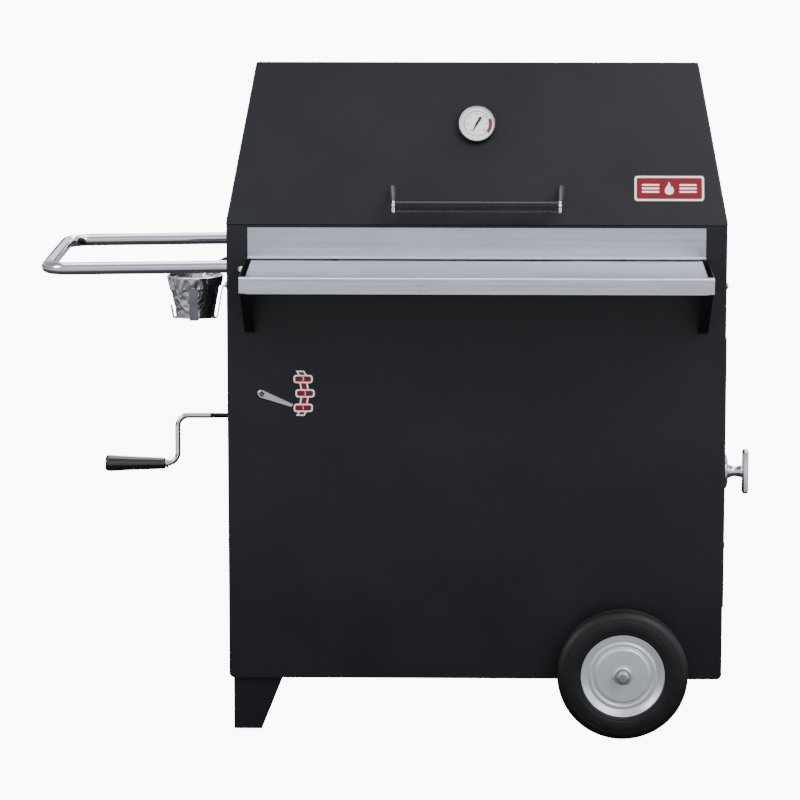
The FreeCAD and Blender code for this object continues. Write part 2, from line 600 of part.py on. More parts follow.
def hood_pieces():
    """Front, roof and rear as one wrap, and the two sides."""
    outer = hood_block(0, 0)
    low = HOOD_BOTTOM + 0.01
    outer = rounded(outer, HOOD_ROUND, lambda e: max(v.Z for v in e.Vertexes) > low)
    shell = outer.cut(hood_block(HOOD_SHEET, 10))
    rim_half = HALF_W + HOOD_LIP
    t = HOOD_SHEET / math.cos(math.atan(RIDGE_IN / (RIDGE_Z - HOOD_BOTTOM)))
    rise = RIDGE_Z + 20 - HOOD_BOTTOM
    lean = RIDGE_IN / (RIDGE_Z - HOOD_BOTTOM)
    sides = []
    for end in (-1, 1):
        foot, head = rim_half - t, rim_half - t - lean * rise
        corners = [at(end * foot, -5, HOOD_BOTTOM), at(end * (foot + 60), -5, HOOD_BOTTOM),
                   at(end * (foot + 60), -5, HOOD_BOTTOM + rise), at(end * head, -5, HOOD_BOTTOM + rise)]
        cutter = prism(corners, Y * (CABINET_D + 10))
        sides.append(shell.common(cutter))
        shell = shell.cut(cutter)
    stem = on_hood(0, GAUGE_Z, Part.makeCylinder(GAUGE_STEM_R + 4, 30, V(0, 0, -15), Z))
    return shell.cut(stem), sides[0], sides[1]


def hood_face(z):
    """How far behind the front face the hood's front lies at a height."""
    return (z - HOOD_BOTTOM) * math.tan(math.radians(LEAN))


def on_hood(x, z, shape):
    """Places a piece, drawn on its back with +Z outwards, on the hood's sloping front."""
    shape.Placement = FreeCAD.Placement(at(x, hood_face(z), z), FreeCAD.Rotation(X, 90 - LEAN))
    return shape


def handle_bar():
    return [rod(at(-BAR_X, BAR_S, BAR_Z), at(BAR_X, BAR_S, BAR_Z), BAR_R)]


def handle_posts():
    """Tapered posts with a foot on the hood and a round cap over each end of the bar."""
    posts = []
    for end in (-1, 1):
        rim_r = BAR_R + CAP_LIP
        cap = turned([(0, 0), (rim_r - 1, 0), (rim_r, 1), (rim_r, CAP_T - 1), (rim_r - 1, CAP_T), (0, CAP_T)],
                     at(end * BAR_X, BAR_S, BAR_Z), X * end)
        root, tip = at(end * POST_X, hood_face(POST_Z), POST_Z), at(end * (BAR_X + CAP_T / 2), BAR_S, BAR_Z)
        run = tip - root
        post = Part.makeCone(POST_R, POST_TIP_R, run.Length - BAR_R / 2, root - run * 0.02, run)
        behind = on_hood(end * POST_X, POST_Z, Part.makeBox(60, 60, 20, V(-30, -30, -20)))
        foot = on_hood(end * POST_X, POST_Z, Part.makeCone(9, 7, 3))
        posts.append(cap.fuse([post.cut(behind), foot]))
    return posts


def gauge_case():
    """Pressed thermometer cup with a rolled bezel."""
    deep, wall = GAUGE_DEPTH, GAUGE_WALL
    outline = [(GAUGE_STEM_R + 0.5, 0.2), (GAUGE_R - 3, 0.2), (GAUGE_R, 5), (GAUGE_R, deep - 1.2),
               (GAUGE_R - 1, deep),
               (DIAL_R, deep), (DIAL_R, deep - 1.5), (GAUGE_R - wall, deep - 1.8), (GAUGE_R - wall, 5.4),
               (GAUGE_R - 3.6, 1.4), (GAUGE_STEM_R + 0.5, 1.4)]
    return [on_hood(0, GAUGE_Z, turned(outline, V(), Z))]


def gauge_dial():
    dial = Part.makeCylinder(GAUGE_R - 1.4, 1.0, V(0, 0, GAUGE_DEPTH - 7.0), Z)
    return [on_hood(0, GAUGE_Z, dial.cut(Part.makeCylinder(1.4, 9, V(0, 0, 3), Z)))]


def gauge_glass():
    return [on_hood(0, GAUGE_Z, Part.makeCylinder(GAUGE_R - 1.5, 1.5, V(0, 0, GAUGE_DEPTH - 3.4), Z))]


def gauge_stem():
    """Probe stem with the hexagon nut that clamps the case to the hood."""
    stem = Part.makeCylinder(GAUGE_STEM_R, GAUGE_STEM_L, V(0, 0, -GAUGE_STEM_L + 6.5), Z)
    nut = Part.makeCylinder(10, 5, V(0, 0, -HOOD_SHEET - 5.2), Z)
    return [on_hood(0, GAUGE_Z, stem.fuse(nut).cut(Part.makeCylinder(1.5, 9, V(0, 0, 2), Z)))]


def gauge_needle():
    """Needle with a short heavy tail, pointing down and to the left at rest, on its spindle."""
    z = GAUGE_DEPTH - 5.4
    outline = [V(-15, -0.3, z), V(0, -1.4, z), V(11, -1.9, z), V(11, 1.9, z), V(0, 1.4, z), V(-15, 0.3, z)]
    needle = prism(outline, Z * 0.7)
    needle.rotate(V(), Z, 60)
    return [on_hood(0, GAUGE_Z, needle.fuse(Part.makeCylinder(1.2, 4.0, V(0, 0, z - 2.8), Z)))]


def badge():
    plate = Part.makeBox(BADGE_W, BADGE_H, BADGE_T, V(-BADGE_W / 2, -BADGE_H / 2, 0.05))
    return [on_hood(BADGE_X, BADGE_Z, rounded(plate, 4.0, lambda e: abs(e.tangentAt(0).z) > 0.9))]


def hood_hinge(moving):
    """One leaf of a piano hinge with every other knuckle; the fixed leaf keeps the pin."""
    pitch = HINGE_LEN / HINGE_KNUCKLES
    knuckles = []
    for i in range(0 if moving else 1, HINGE_KNUCKLES, 2):
        x = -HINGE_LEN / 2 + i * pitch + CLEAR
        barrel = rod(at(x, HINGE_S, HINGE_Z), at(x + pitch - 2 * CLEAR, HINGE_S, HINGE_Z), HINGE_R)
        knuckles.append(barrel)
    half = HINGE_LEN / 2
    if moving:
        lean = (REAR_RIDGE_Z - HOOD_BOTTOM) / (CABINET_D - REAR_RIDGE_S)
        up = 28.0
        gap = 0.2
        s0 = CABINET_D + gap - (HINGE_Z - HOOD_BOTTOM) / lean
        corners = [at(-half, s0, HINGE_Z), at(-half, s0 - up / lean, HINGE_Z + up),
                   at(-half, s0 - up / lean + 2, HINGE_Z + up), at(-half, s0 + 2, HINGE_Z)]
        leaf = prism(corners, X * HINGE_LEN)
        web = block((-half, half), (CABINET_D + gap + 0.2, HINGE_S),
                    (HINGE_Z + HINGE_R - 1.6, HINGE_Z + HINGE_R))
        cuts = [rod(at(-half + i * pitch, HINGE_S, HINGE_Z), at(-half + (i + 1) * pitch, HINGE_S, HINGE_Z),
                    HINGE_R + CLEAR) for i in range(1, HINGE_KNUCKLES, 2)]
        bore = rod(at(-half - 1, HINGE_S, HINGE_Z), at(half + 1, HINGE_S, HINGE_Z), HINGE_PIN_R + RUN)
        return [leaf.cut(cuts).fuse([k.fuse(web.common(slab(k))) for k in knuckles]).cut(bore)]
    leaf = block((-half, half), (CABINET_D, CABINET_D + 2), (HINGE_Z - 34, HINGE_Z - HINGE_R - 0.8))
    web = block((-half, half), (CABINET_D, HINGE_S), (HINGE_Z - HINGE_R - 0.8, HINGE_Z - HINGE_R + 1.4))
    pin = rod(at(-half - 2, HINGE_S, HINGE_Z), at(half + 2, HINGE_S, HINGE_Z), HINGE_PIN_R)
    return [leaf.fuse([k.fuse(web.common(slab(k))) for k in knuckles] + [pin])]


def slab(knuckle):
    """The stretch of the hinge that one knuckle takes up."""
    box = knuckle.BoundBox
    return Part.makeBox(box.XLength, 60, 60, V(box.XMin, box.YMin - 30, box.ZMin - 30))


# ---- Fire door, latch and vent

def door_panel():
    """Door pan: a flat sheet lapping the opening, with its edges turned back to the wall."""
    (s0, s1), (z0, z1) = OPENING_S, OPENING_Z
    out = HALF_W + DOOR_STAND
    pan = block((out - DOOR_STAND + CLEAR, out), (s0 - DOOR_LAP, s1 + DOOR_LAP),
                (z0 - DOOR_LAP, z1 + DOOR_LAP))
    pan = rounded(pan, 1.5, lambda e: min(v.X for v in e.Vertexes) > CENTRE_X + out - 0.01)
    inner = block((out - DOOR_STAND - 1, out - DOOR_T), (s0 - DOOR_LAP + 2, s1 + DOOR_LAP - 2),
                  (z0 - DOOR_LAP + 2, z1 + DOOR_LAP - 2))
    pan = pan.cut([inner] + vent_slots() + [hole(HALF_W, LATCH_S, LATCH_Z, LATCH_ROD_R + 1, X)])
    return pan.fuse(vent_guides())


def vent_slots(shift=0.0):
    """Upright air slots low in the door."""
    cuts = []
    for i in range(VENT_N):
        s = VENT_S + shift + (i - (VENT_N - 1) / 2) * VENT_PITCH
        cuts.append(block((HALF_W - 40, HALF_W + 20), (s - VENT_SLOT_W / 2, s + VENT_SLOT_W / 2),
                          (VENT_Z - VENT_SLOT_H / 2, VENT_Z + VENT_SLOT_H / 2)))
    return cuts


def door_liner():
    """Inner pan of the door, which fills the opening and shields the outer sheet."""
    (s0, s1), (z0, z1) = OPENING_S, OPENING_Z
    out = HALF_W + DOOR_STAND - DOOR_T
    gap = LINER_GAP
    back = out - LINER_DEEP
    box = block((back, out), (s0 + gap, s1 - gap), (z0 + gap, z1 - gap))
    step = gap + LINER_T
    hollow = block((back + LINER_T, out + 1), (s0 + step, s1 - step), (z0 + step, z1 - step))
    return [box.cut([hollow] + vent_slots() + [hole(HALF_W - 3, LATCH_S, LATCH_Z, LATCH_ROD_R + 1, X)])]


def vent_guides():
    """Two rails, spot-welded to the door, that hold the vent slide."""
    out = HALF_W + DOOR_STAND
    rails = []
    for hand in (-1, 1):
        z = VENT_Z + hand * (VENT_SLOT_H / 2 + 8)
        rail = block((out, out + 4.5), (VENT_S - VENT_HALF, VENT_S + VENT_HALF), sorted((z, z + hand * 7)))
        room = VENT_GAP + VENT_T + CLEAR
        groove = block((out - 1, out + room), (VENT_S - VENT_HALF - 4, VENT_S + VENT_HALF + 4),
                       sorted((z - hand * 1, z + hand * 3)))
        rails.append(rail.cut(groove))
    return rails


def vent_slide():
    """Shutter with slots that meet those in the door when it is pushed to its end."""
    out = HALF_W + DOOR_STAND
    face = out + VENT_GAP + VENT_T
    half = VENT_SLOT_H / 2 + VENT_LAP
    plate = block((out + VENT_GAP, face), (VENT_S - VENT_HALF + 2, VENT_S + VENT_HALF - VENT_PITCH / 2 - 1),
                  (VENT_Z - half, VENT_Z + half))
    plate = plate.cut(vent_slots(-VENT_PITCH / 2))
    knob = turned([(0, 0), (3, 0), (3, 5), (6.5, 8), (7, 13), (5, 16), (0, 16)],
                  at(face, VENT_S + 2 * VENT_PITCH + 1, VENT_Z), X)
    return [plate.fuse(knob)]


def door_hinges(moving):
    """Butt hinges on the door's rear edge: the fixed leaves keep the pins."""
    hinges = []
    x = HALF_W + DOOR_HINGE_OUT
    for z in DOOR_HINGES_Z:
        if moving:
            barrels = [(z - DOOR_KNUCKLE / 2 + CLEAR, z + DOOR_KNUCKLE / 2 - CLEAR)]
            s_leaf = (DOOR_HINGE_S - 30, DOOR_HINGE_S - 1)
            x_leaf = (HALF_W + DOOR_STAND + 0.02, HALF_W + DOOR_STAND + 2)
        else:
            barrels = [(z - 1.5 * DOOR_KNUCKLE, z - DOOR_KNUCKLE / 2),
                       (z + DOOR_KNUCKLE / 2, z + 1.5 * DOOR_KNUCKLE)]
            s_leaf = (DOOR_HINGE_S + 1, DOOR_HINGE_S + 10)
            x_leaf = (HALF_W, HALF_W + 2)
        knuckles = [rod(at(x, DOOR_HINGE_S, a), at(x, DOOR_HINGE_S, b), DOOR_HINGE_R) for a, b in barrels]
        low, high = barrels[0][0], barrels[-1][1]
        leaf = block(x_leaf, s_leaf, (low, high))
        bore = rod(at(x, DOOR_HINGE_S, z - 60), at(x, DOOR_HINGE_S, z + 60), DOOR_PIN_R + RUN)
        if moving:
            hinges.append(knuckles[0].fuse(leaf).cut(bore))
        else:
            web = [block((HALF_W, x), (DOOR_HINGE_S - 1.5, DOOR_HINGE_S + 1.5), b) for b in barrels]
            room = rod(at(x, DOOR_HINGE_S, z - DOOR_KNUCKLE / 2), at(x, DOOR_HINGE_S, z + DOOR_KNUCKLE / 2),
                       DOOR_HINGE_R + CLEAR)
            pin = rod(at(x, DOOR_HINGE_S, low - 2), at(x, DOOR_HINGE_S, high + 2), DOOR_PIN_R)
            hinges.append(leaf.cut(room).fuse(knuckles + web + [pin]))
    return hinges


def latch_rose():
    """Round chromed rose on the door, bored for the latch spindle."""
    base, face = DOOR_STAND, ROSE_OUT
    outline = [(LATCH_ROD_R + RUN, base), (ROSE_R, base), (ROSE_R, base + 1.6), (ROSE_R - 2, face - 1),
               (ROSE_R - 5, face), (LATCH_ROD_R + RUN, face)]
    return [turned(outline, at(HALF_W, LATCH_S, LATCH_Z), X)]


def latch_handle():
    """T-handle: a waisted stem, an upright bar and the spindle through the door."""
    out = LATCH_REACH - TBAR_T
    low = ROSE_OUT + CLEAR
    stem = turned([(0, low), (LATCH_STEM_R, low), (LATCH_STEM_R, out - 3), (LATCH_STEM_R - 3, out), (0, out)],
                  at(HALF_W, LATCH_S, LATCH_Z), X)
    bar = block((HALF_W + out, HALF_W + LATCH_REACH), (LATCH_S - TBAR_W / 2, LATCH_S + TBAR_W / 2),
                (LATCH_Z - TBAR_H / 2, LATCH_Z + TBAR_H / 2))
    bar = rounded(bar, 4.5, lambda e: True)
    spindle = rod(at(CAM_X - CAM_T - 3, LATCH_S, LATCH_Z), at(HALF_W + ROSE_OUT + 1, LATCH_S, LATCH_Z),
                  LATCH_ROD_R)
    return [bar.fuse([stem, spindle])]


def latch_cam():
    """Cam on the spindle: it hangs when the handle is upright, and turns behind the opening's front edge."""
    cam = block((CAM_X - CAM_T, CAM_X), (LATCH_S - CAM_W / 2, LATCH_S + CAM_W / 2),
                (LATCH_Z - CAM_L, LATCH_Z + CAM_W / 2))
    cam = rounded(cam, 4.0, lambda e: abs(e.tangentAt(0).x) > 0.9)
    return [cam.cut(hole(CAM_X, LATCH_S, LATCH_Z, LATCH_ROD_R, X))]


# ---- Lift

def arm_point(x, angle, length):
    """A point on an arm that swings in the x-z plane about a pivot at shaft height."""
    turn = math.radians(angle)
    return x + length * math.cos(turn), SHAFT_Z + length * math.sin(turn)


def arm(pivot_x, s, pivot_r, pin_r):
    """Flat arm with round ends from its pivot to the firebox pin, drawn at rest."""
    end_x, end_z = arm_point(pivot_x, -LIFT_ANGLE, ARM_L)
    bosses = [rod(at(x, s, z), at(x, s + ARM_T, z), ARM_W / 2)
              for x, z in ((pivot_x, SHAFT_Z), (end_x, end_z))]
    along = math.radians(-LIFT_ANGLE)
    across_x, across_z = -math.sin(along) * ARM_W / 2, math.cos(along) * ARM_W / 2
    corners = [at(pivot_x + across_x, s, SHAFT_Z + across_z), at(end_x + across_x, s, end_z + across_z),
               at(end_x - across_x, s, end_z - across_z), at(pivot_x - across_x, s, SHAFT_Z - across_z)]
    bar = prism(corners, Y * ARM_T)
    return bar.fuse(bosses).cut([hole(pivot_x, s, SHAFT_Z, pivot_r, Y), hole(end_x, s, end_z, pin_r, Y)])


def fork(hand):
    """One plate of the forked lever, drawn upright and then turned with the arms."""
    half = TRUNNION_R + SLOT_CLEAR
    wall = 4.0
    reach = SCREW_DROP / math.cos(math.radians(LIFT_ANGLE)) + half + wall
    near = SCREW_S + hand * (NUT_S_SIZE / 2 + 0.5)
    s0, s1 = sorted((near, near + hand * FORK_T))
    plate = block((SHAFT_X - half - 5.4, SHAFT_X + half + 5.4), (s0, s1), (SHAFT_Z - reach, SHAFT_Z))
    plate = plate.fuse(rod(at(SHAFT_X, s0, SHAFT_Z), at(SHAFT_X, s1, SHAFT_Z), SHAFT_R + 8))
    top, low = SHAFT_Z - SCREW_DROP + 1.5, SHAFT_Z - reach + half + wall
    slot = block((SHAFT_X - half, SHAFT_X + half), (s0 - 1, s1 + 1), (low, top + 7))
    ends = [rod(at(SHAFT_X, s0 - 1, z), at(SHAFT_X, s1 + 1, z), half) for z in (top, low)]
    plate = plate.cut([slot] + ends)
    plate.rotate(at(SHAFT_X, 0, SHAFT_Z), Y, LIFT_ANGLE)
    return plate


def lift_frame():
    """Cross shaft with an arm welded on near each end and the forked lever that the screw drives."""
    shaft = rod(at(SHAFT_X, -POINTER_T, SHAFT_Z), at(SHAFT_X, CABINET_D + 6, SHAFT_Z), SHAFT_R)
    arms = [arm(SHAFT_X, s, SHAFT_R, PIN_R + RUN) for s in (ARM_S, REAR_ARM_S)]
    return [shaft.fuse(arms + [fork(hand) for hand in (-1, 1)])]


def pointer():
    """Tapered satin-steel pointer on the front end of the shaft."""
    s = -POINTER_T - 0.8
    wide, thin = POINTER_W0 / 2, POINTER_W1 / 2
    blade = prism([at(SHAFT_X, s, SHAFT_Z - wide), at(SHAFT_X + POINTER_L - thin, s, SHAFT_Z - thin),
                   at(SHAFT_X + POINTER_L - thin, s, SHAFT_Z + thin), at(SHAFT_X, s, SHAFT_Z + wide)],
                  Y * POINTER_T)
    ends = [rod(at(x, s, SHAFT_Z), at(x, s + POINTER_T, SHAFT_Z), radius)
            for x, radius in ((SHAFT_X, wide), (SHAFT_X + POINTER_L - thin, thin))]
    blade = blade.fuse(ends).removeSplitter()
    blade.rotate(at(SHAFT_X, 0, SHAFT_Z), Y, LIFT_ANGLE)
    seat = rod(at(SHAFT_X, -POINTER_T, SHAFT_Z), at(SHAFT_X, 5, SHAFT_Z), SHAFT_R)
    screw = turned([(0, 0), (4.2, 0), (4.2, 0.8), (2.6, 1.8), (0, 2.0)], at(SHAFT_X, s, SHAFT_Z), Y * -1)
    return [blade.cut(seat).fuse(screw)]


def lift_bushes():
    """Flanged bushes in the front and rear panels that carry the shaft."""
    bushes = []
    for face, inward in ((0, 1), (CABINET_D, -1)):
        outline = [(SHAFT_R + RUN, 0.05), (SHAFT_R + 3, 0.05), (SHAFT_R + 3, WALL), (SHAFT_R + 8, WALL),
                   (SHAFT_R + 8, WALL + 5), (SHAFT_R + RUN, WALL + 5)]
        bushes.append(turned(outline, at(SHAFT_X, face, SHAFT_Z), Y * inward))
    return bushes


def idler_pins():
    """Shoulder studs on the front and rear panels that carry the idler arms."""
    x = SHAFT_X + IDLER_SHIFT
    studs = []
    for face, inward, arm_face in ((WALL, 1, ARM_S), (CABINET_D - WALL, -1, CABINET_D - ARM_S)):
        flange = rod(at(x, face, SHAFT_Z), at(x, face + inward * 4, SHAFT_Z), 20)
        neck = rod(at(x, face, SHAFT_Z), at(x, arm_face - inward * CLEAR, SHAFT_Z), SHAFT_R + 4)
        far = arm_face + inward * (ARM_T + CLEAR)
        stud = rod(at(x, face, SHAFT_Z), at(x, far, SHAFT_Z), SHAFT_R)
        head = rod(at(x, far, SHAFT_Z), at(x, far + inward * PIN_HEAD_T, SHAFT_Z), SHAFT_R + 4)
        studs.append(flange.fuse([neck, stud, head]))
    return studs


def idler_arms():
    """Two loose arms that keep the firebox level."""
    return [arm(SHAFT_X + IDLER_SHIFT, s, SHAFT_R + RUN, PIN_R + PIN_CLEAR) for s in (ARM_S, REAR_ARM_S)]


PIN_X, PIN_Z = arm_point(SHAFT_X, -LIFT_ANGLE, ARM_L)
FIREBOX_RIM = PIN_Z + FIREBOX_PIN_DROP
FIREBOX_BASE = FIREBOX_RIM - FIREBOX_H


def firebox():
    """Open steel box for the charcoal."""
    (x0, x1), (s0, s1) = FIREBOX_X, FIREBOX_S
    t = FIREBOX_T
    outer = block((x0, x1), (s0, s1), (FIREBOX_BASE, FIREBOX_RIM))
    inner = block((x0 + t, x1 - t), (s0 + t, s1 - t), (FIREBOX_BASE + t, FIREBOX_RIM + 1))
    lips = [block((x0 + t, x1 - t), (s, s + 10),
                  (FIREBOX_BASE + FIRE_GRATE_H - 4, FIREBOX_BASE + FIRE_GRATE_H - 1))
            for s in (s0 + t, s1 - t - 10)]
    return [outer.cut(inner).fuse(lips + firebox_pins())]


def firebox_pins():
    """Collared pins on the firebox sides for the arm ends."""
    (x0, x1), (s0, s1) = FIREBOX_X, FIREBOX_S
    pins = []
    for x in (PIN_X, PIN_X + IDLER_SHIFT):
        for wall_s, arm_face, out in ((s0, ARM_S + ARM_T, -1), (s1, REAR_ARM_S, 1)):
            collar = rod(at(x, wall_s, PIN_Z), at(x, arm_face - out * CLEAR, PIN_Z), PIN_R + 5)
            far = arm_face + out * (ARM_T + CLEAR)
            pin = rod(at(x, wall_s, PIN_Z), at(x, far, PIN_Z), PIN_R)
            head = rod(at(x, far, PIN_Z), at(x, far + out * PIN_HEAD_T, PIN_Z), PIN_R + 4)
            pins.append(collar.fuse([pin, head]))
    return pins


def fire_grate():
    """Cast bars across the firebox, tied at both ends."""
    (x0, x1), (s0, s1) = FIREBOX_X, FIREBOX_S
    z = (FIREBOX_BASE + FIRE_GRATE_H - 1, FIREBOX_BASE + FIRE_GRATE_H + 7)
    gap = FIREBOX_T + 3
    start = x0 + gap
    count = int((x1 - x0 - 2 * gap) / FIRE_BAR_PITCH)
    span = (x1 - x0 - 2 * gap - FIRE_BAR) / count
    bars = [block((start + i * span, start + i * span + FIRE_BAR), (s0 + gap, s1 - gap), z)
            for i in range(count + 1)]
    ties = [block((start, x1 - gap), (s, s + FIRE_BAR), z) for s in (s0 + gap, s1 - gap - FIRE_BAR)]
    return [bars[0].fuse(bars[1:] + ties)]


# ---- Crank, screw, nut and position plate

def crank_rod():
    """Screw and crank bent from one rod: through the yoke, out of the wall, down and out again."""
    z1 = SCREW_Z - CRANK_DROP
    points = [at(YOKE_X1 + YOKE_T + 5, SCREW_S, SCREW_Z), at(CRANK_X, SCREW_S, SCREW_Z),
              at(CRANK_X, SCREW_S, z1),
              at(GRIP_X1 + 4, SCREW_S, z1)]
    bar = swept(points, CRANK_BEND, SCREW_R)
    collars = [rod(at(x, SCREW_S, SCREW_Z), at(x + COLLAR_W, SCREW_S, SCREW_Z), SCREW_R + 4)
               for x in (YOKE_X0 + YOKE_T + CLEAR, YOKE_X1 - COLLAR_W - CLEAR)]
    stop = rod(at(GRIP_X0 + 1, SCREW_S, z1), at(GRIP_X0 + 5, SCREW_S, z1), SCREW_R + 3)
    return [bar.fuse(collars + [stop])]


def crank_grip():
    """Tapered turned grip, free on the crank's end and closed at its outer end."""
    length = GRIP_L
    bore = SCREW_R + RUN
    deep = length - 3.6
    outline = [(bore, 0), (GRIP_R0 - 1, 0), (GRIP_R0, 1.5), (GRIP_R1, length - 5),
               (GRIP_R1 - 1.2, length - 1.2),
               (GRIP_R1 - 4, length), (0, length), (0, deep), (bore, deep)]
    return [turned(outline, at(GRIP_X0, SCREW_S, SCREW_Z - CRANK_DROP), X * -1)]


def screw_yoke():
    """U-shaped strap that carries the screw at both ends, and the bush in the wall."""
    low = SCREW_Z - 22
    mid = YOKE_T / 2
    section = [(YOKE_X0 + mid, SCREW_Z + 16), (YOKE_X0 + mid, low + mid), (YOKE_X1 + mid, low + mid),
               (YOKE_X1 + mid, SCREW_Z + 16)]
    strap = folded(section, YOKE_T, 1.5, "xz", SCREW_S - YOKE_W / 2, YOKE_W)
    bore = rod(at(-HALF_W - 5, SCREW_S, SCREW_Z), at(YOKE_X1 + 20, SCREW_S, SCREW_Z), SCREW_R + RUN)
    bush = rod(at(-HALF_W - 2, SCREW_S, SCREW_Z), at(YOKE_X0, SCREW_S, SCREW_Z), SCREW_R + 2.9)
    return [strap.fuse(bush).cut(bore)]


def screw_nut():
    """Trunnion nut: a block on the screw with a pin on each side for the forked lever."""
    x = SHAFT_X - SCREW_DROP * math.tan(math.radians(LIFT_ANGLE))
    half_s, half_z = NUT_S_SIZE / 2, NUT_Z_SIZE / 2
    nut = block((x - NUT_X / 2, x + NUT_X / 2), (SCREW_S - half_s, SCREW_S + half_s),
                (SCREW_Z - half_z, SCREW_Z + half_z))
    nut = rounded(nut, 1.5, lambda e: abs(e.tangentAt(0).x) > 0.9)
    tip = half_s + TRUNNION_L
    pin = rod(at(x, SCREW_S - tip, SCREW_Z), at(x, SCREW_S + tip, SCREW_Z), TRUNNION_R)
    return [nut.fuse(pin).cut(hole(x, SCREW_S, SCREW_Z, SCREW_R + RUN, X))]


def position_plate():
    return [block((PLATE_X - PLATE_W / 2, PLATE_X + PLATE_W / 2), (-PLATE_T, 0), (PLATE_Z0, PLATE_Z1))]


# ---- Cooking grates, trough, spout and drip cup

def grate_rails():
    """Angle ledges on the front and rear panels."""
    rails = []
    reach = HALF_W - 2 * WALL - SEAM - 1
    for face, inward in ((WALL, 1), (CABINET_D - WALL, -1)):
        foot, top = face + inward * (RAIL_T / 2 + 0.02), GRATE_Z - RAIL_T / 2
        section = [(foot, GRATE_Z - RAIL), (foot, top), (face + inward * RAIL, top)]
        rails.append(folded(section, RAIL_T, 1.5, "sz", -reach, 2 * reach))
    return rails


def cooking_grate(end):
    """Steel grate of V-shaped channels between two flat end bars."""
    x_in, x_out = end * GRATE_GAP / 2, end * (HALF_W - 2 * WALL - 6)
    x0, x1 = min(x_in, x_out), max(x_in, x_out)
    s0, s1 = WALL + 4.0, CABINET_D - WALL - 4.0
    count = int((x1 - x0) / CHANNEL_PITCH)
    pitch = (x1 - x0 - CHANNEL_W) / (count - 1)
    z = GRATE_Z + 0.2
    pieces = [block((x0, x1), s, (z, z + 3)) for s in ((s0, s0 + 12), (s1 - 12, s1))]
    t = CHANNEL_T
    for i in range(count):
        middle = x0 + CHANNEL_W / 2 + i * pitch
        half = CHANNEL_W / 2
        corners = [at(middle - half, s0, z + CHANNEL_H), at(middle, s0, z + 1),
                   at(middle + half, s0, z + CHANNEL_H),
                   at(middle + half - 2 * t, s0, z + CHANNEL_H), at(middle, s0, z + 1 + 2 * t),
                   at(middle - half + 2 * t, s0, z + CHANNEL_H)]
        pieces.append(prism(corners, Y * (s1 - s0)))
    return [pieces[0].fuse(pieces[1:])]


def trough_z(x):
    """Floor height of the trough, which falls towards the left wall."""
    return TROUGH_Z - TROUGH_FALL * (HALF_W - x) / CABINET_W


def grease_trough():
    """Narrow channel under the grates that falls to the left, held by four straps on the panels."""
    reach = HALF_W - 2 * WALL - 2
    half = TROUGH_W / 2
    x0, x1 = -reach, reach
    t = TROUGH_T
    near = TROUGH_S - half
    low, high = trough_z(x0), trough_z(x1)
    outer = prism([at(x0, near, low), at(x1, near, high), at(x1, near, high + TROUGH_H),
                   at(x0, near, low + TROUGH_H)],
                  Y * TROUGH_W)
    inner = prism([at(x0 - 1, near + t, low + t), at(x1 - t, near + t, high + t),
                   at(x1 - t, near + t, high + TROUGH_H + 1), at(x0 - 1, near + t, low + TROUGH_H + 1)],
                  Y * (TROUGH_W - 2 * t))
    straps = []
    for x in (-STRAP_X, STRAP_X):
        base = trough_z(x) + TROUGH_H / 2
        for s in ((WALL, TROUGH_S - half + 1), (TROUGH_S + half - 1, CABINET_D - WALL)):
            straps.append(block((x - 10, x + 10), s, (base - 2, base)))
    return [outer.cut(inner).fuse(straps)]


def drain_spout():
    """Sheet chute through the left wall that drops the fat into the cup."""
    near, width = TROUGH_S - TROUGH_W / 2 + 8, TROUGH_W - 16
    t = TROUGH_T
    start_x = -HALF_W + 2 * WALL + 4
    start_z = trough_z(start_x) - 3
    drop = (start_z - SPOUT_END_Z) / (start_x - SPOUT_END_X)
    rise = t * math.sqrt(1 + drop ** 2)
    end_low, start_low = SPOUT_END_Z - 5, start_z - 10
    outer = prism([at(start_x, near, start_z), at(SPOUT_END_X, near, SPOUT_END_Z),
                   at(SPOUT_END_X, near, end_low),
                   at(start_x, near, start_low)], Y * width)
    lap_x = start_x + 5
    inner = prism([at(lap_x, near + t, start_z + 1 + 5 * drop),
                   at(SPOUT_END_X - 1, near + t, SPOUT_END_Z + 1),
                   at(SPOUT_END_X - 1, near + t, end_low + rise), at(lap_x, near + t, start_low + rise)],
                  Y * (width - 2 * t))
    return [outer.cut(inner)]


def cup_radius(z):
    """Radius of the cup's flared side at a height."""
    return CUP_BASE_R + (CUP_RIM_R - CUP_BASE_R) * (z - CUP_BASE_Z) / (CUP_RIM_Z - CUP_BASE_Z)


def drip_cup():
    """Round foil cup, flared to its rim."""
    outline = [(0, CUP_BASE_Z), (CUP_BASE_R, CUP_BASE_Z), (CUP_RIM_R, CUP_RIM_Z),
               (CUP_RIM_R - CUP_T, CUP_RIM_Z),
               (CUP_BASE_R - CUP_T, CUP_BASE_Z + CUP_T), (0, CUP_BASE_Z + CUP_T)]
    return [turned(outline, at(CUP_X, TROUGH_S, 0), Z)]


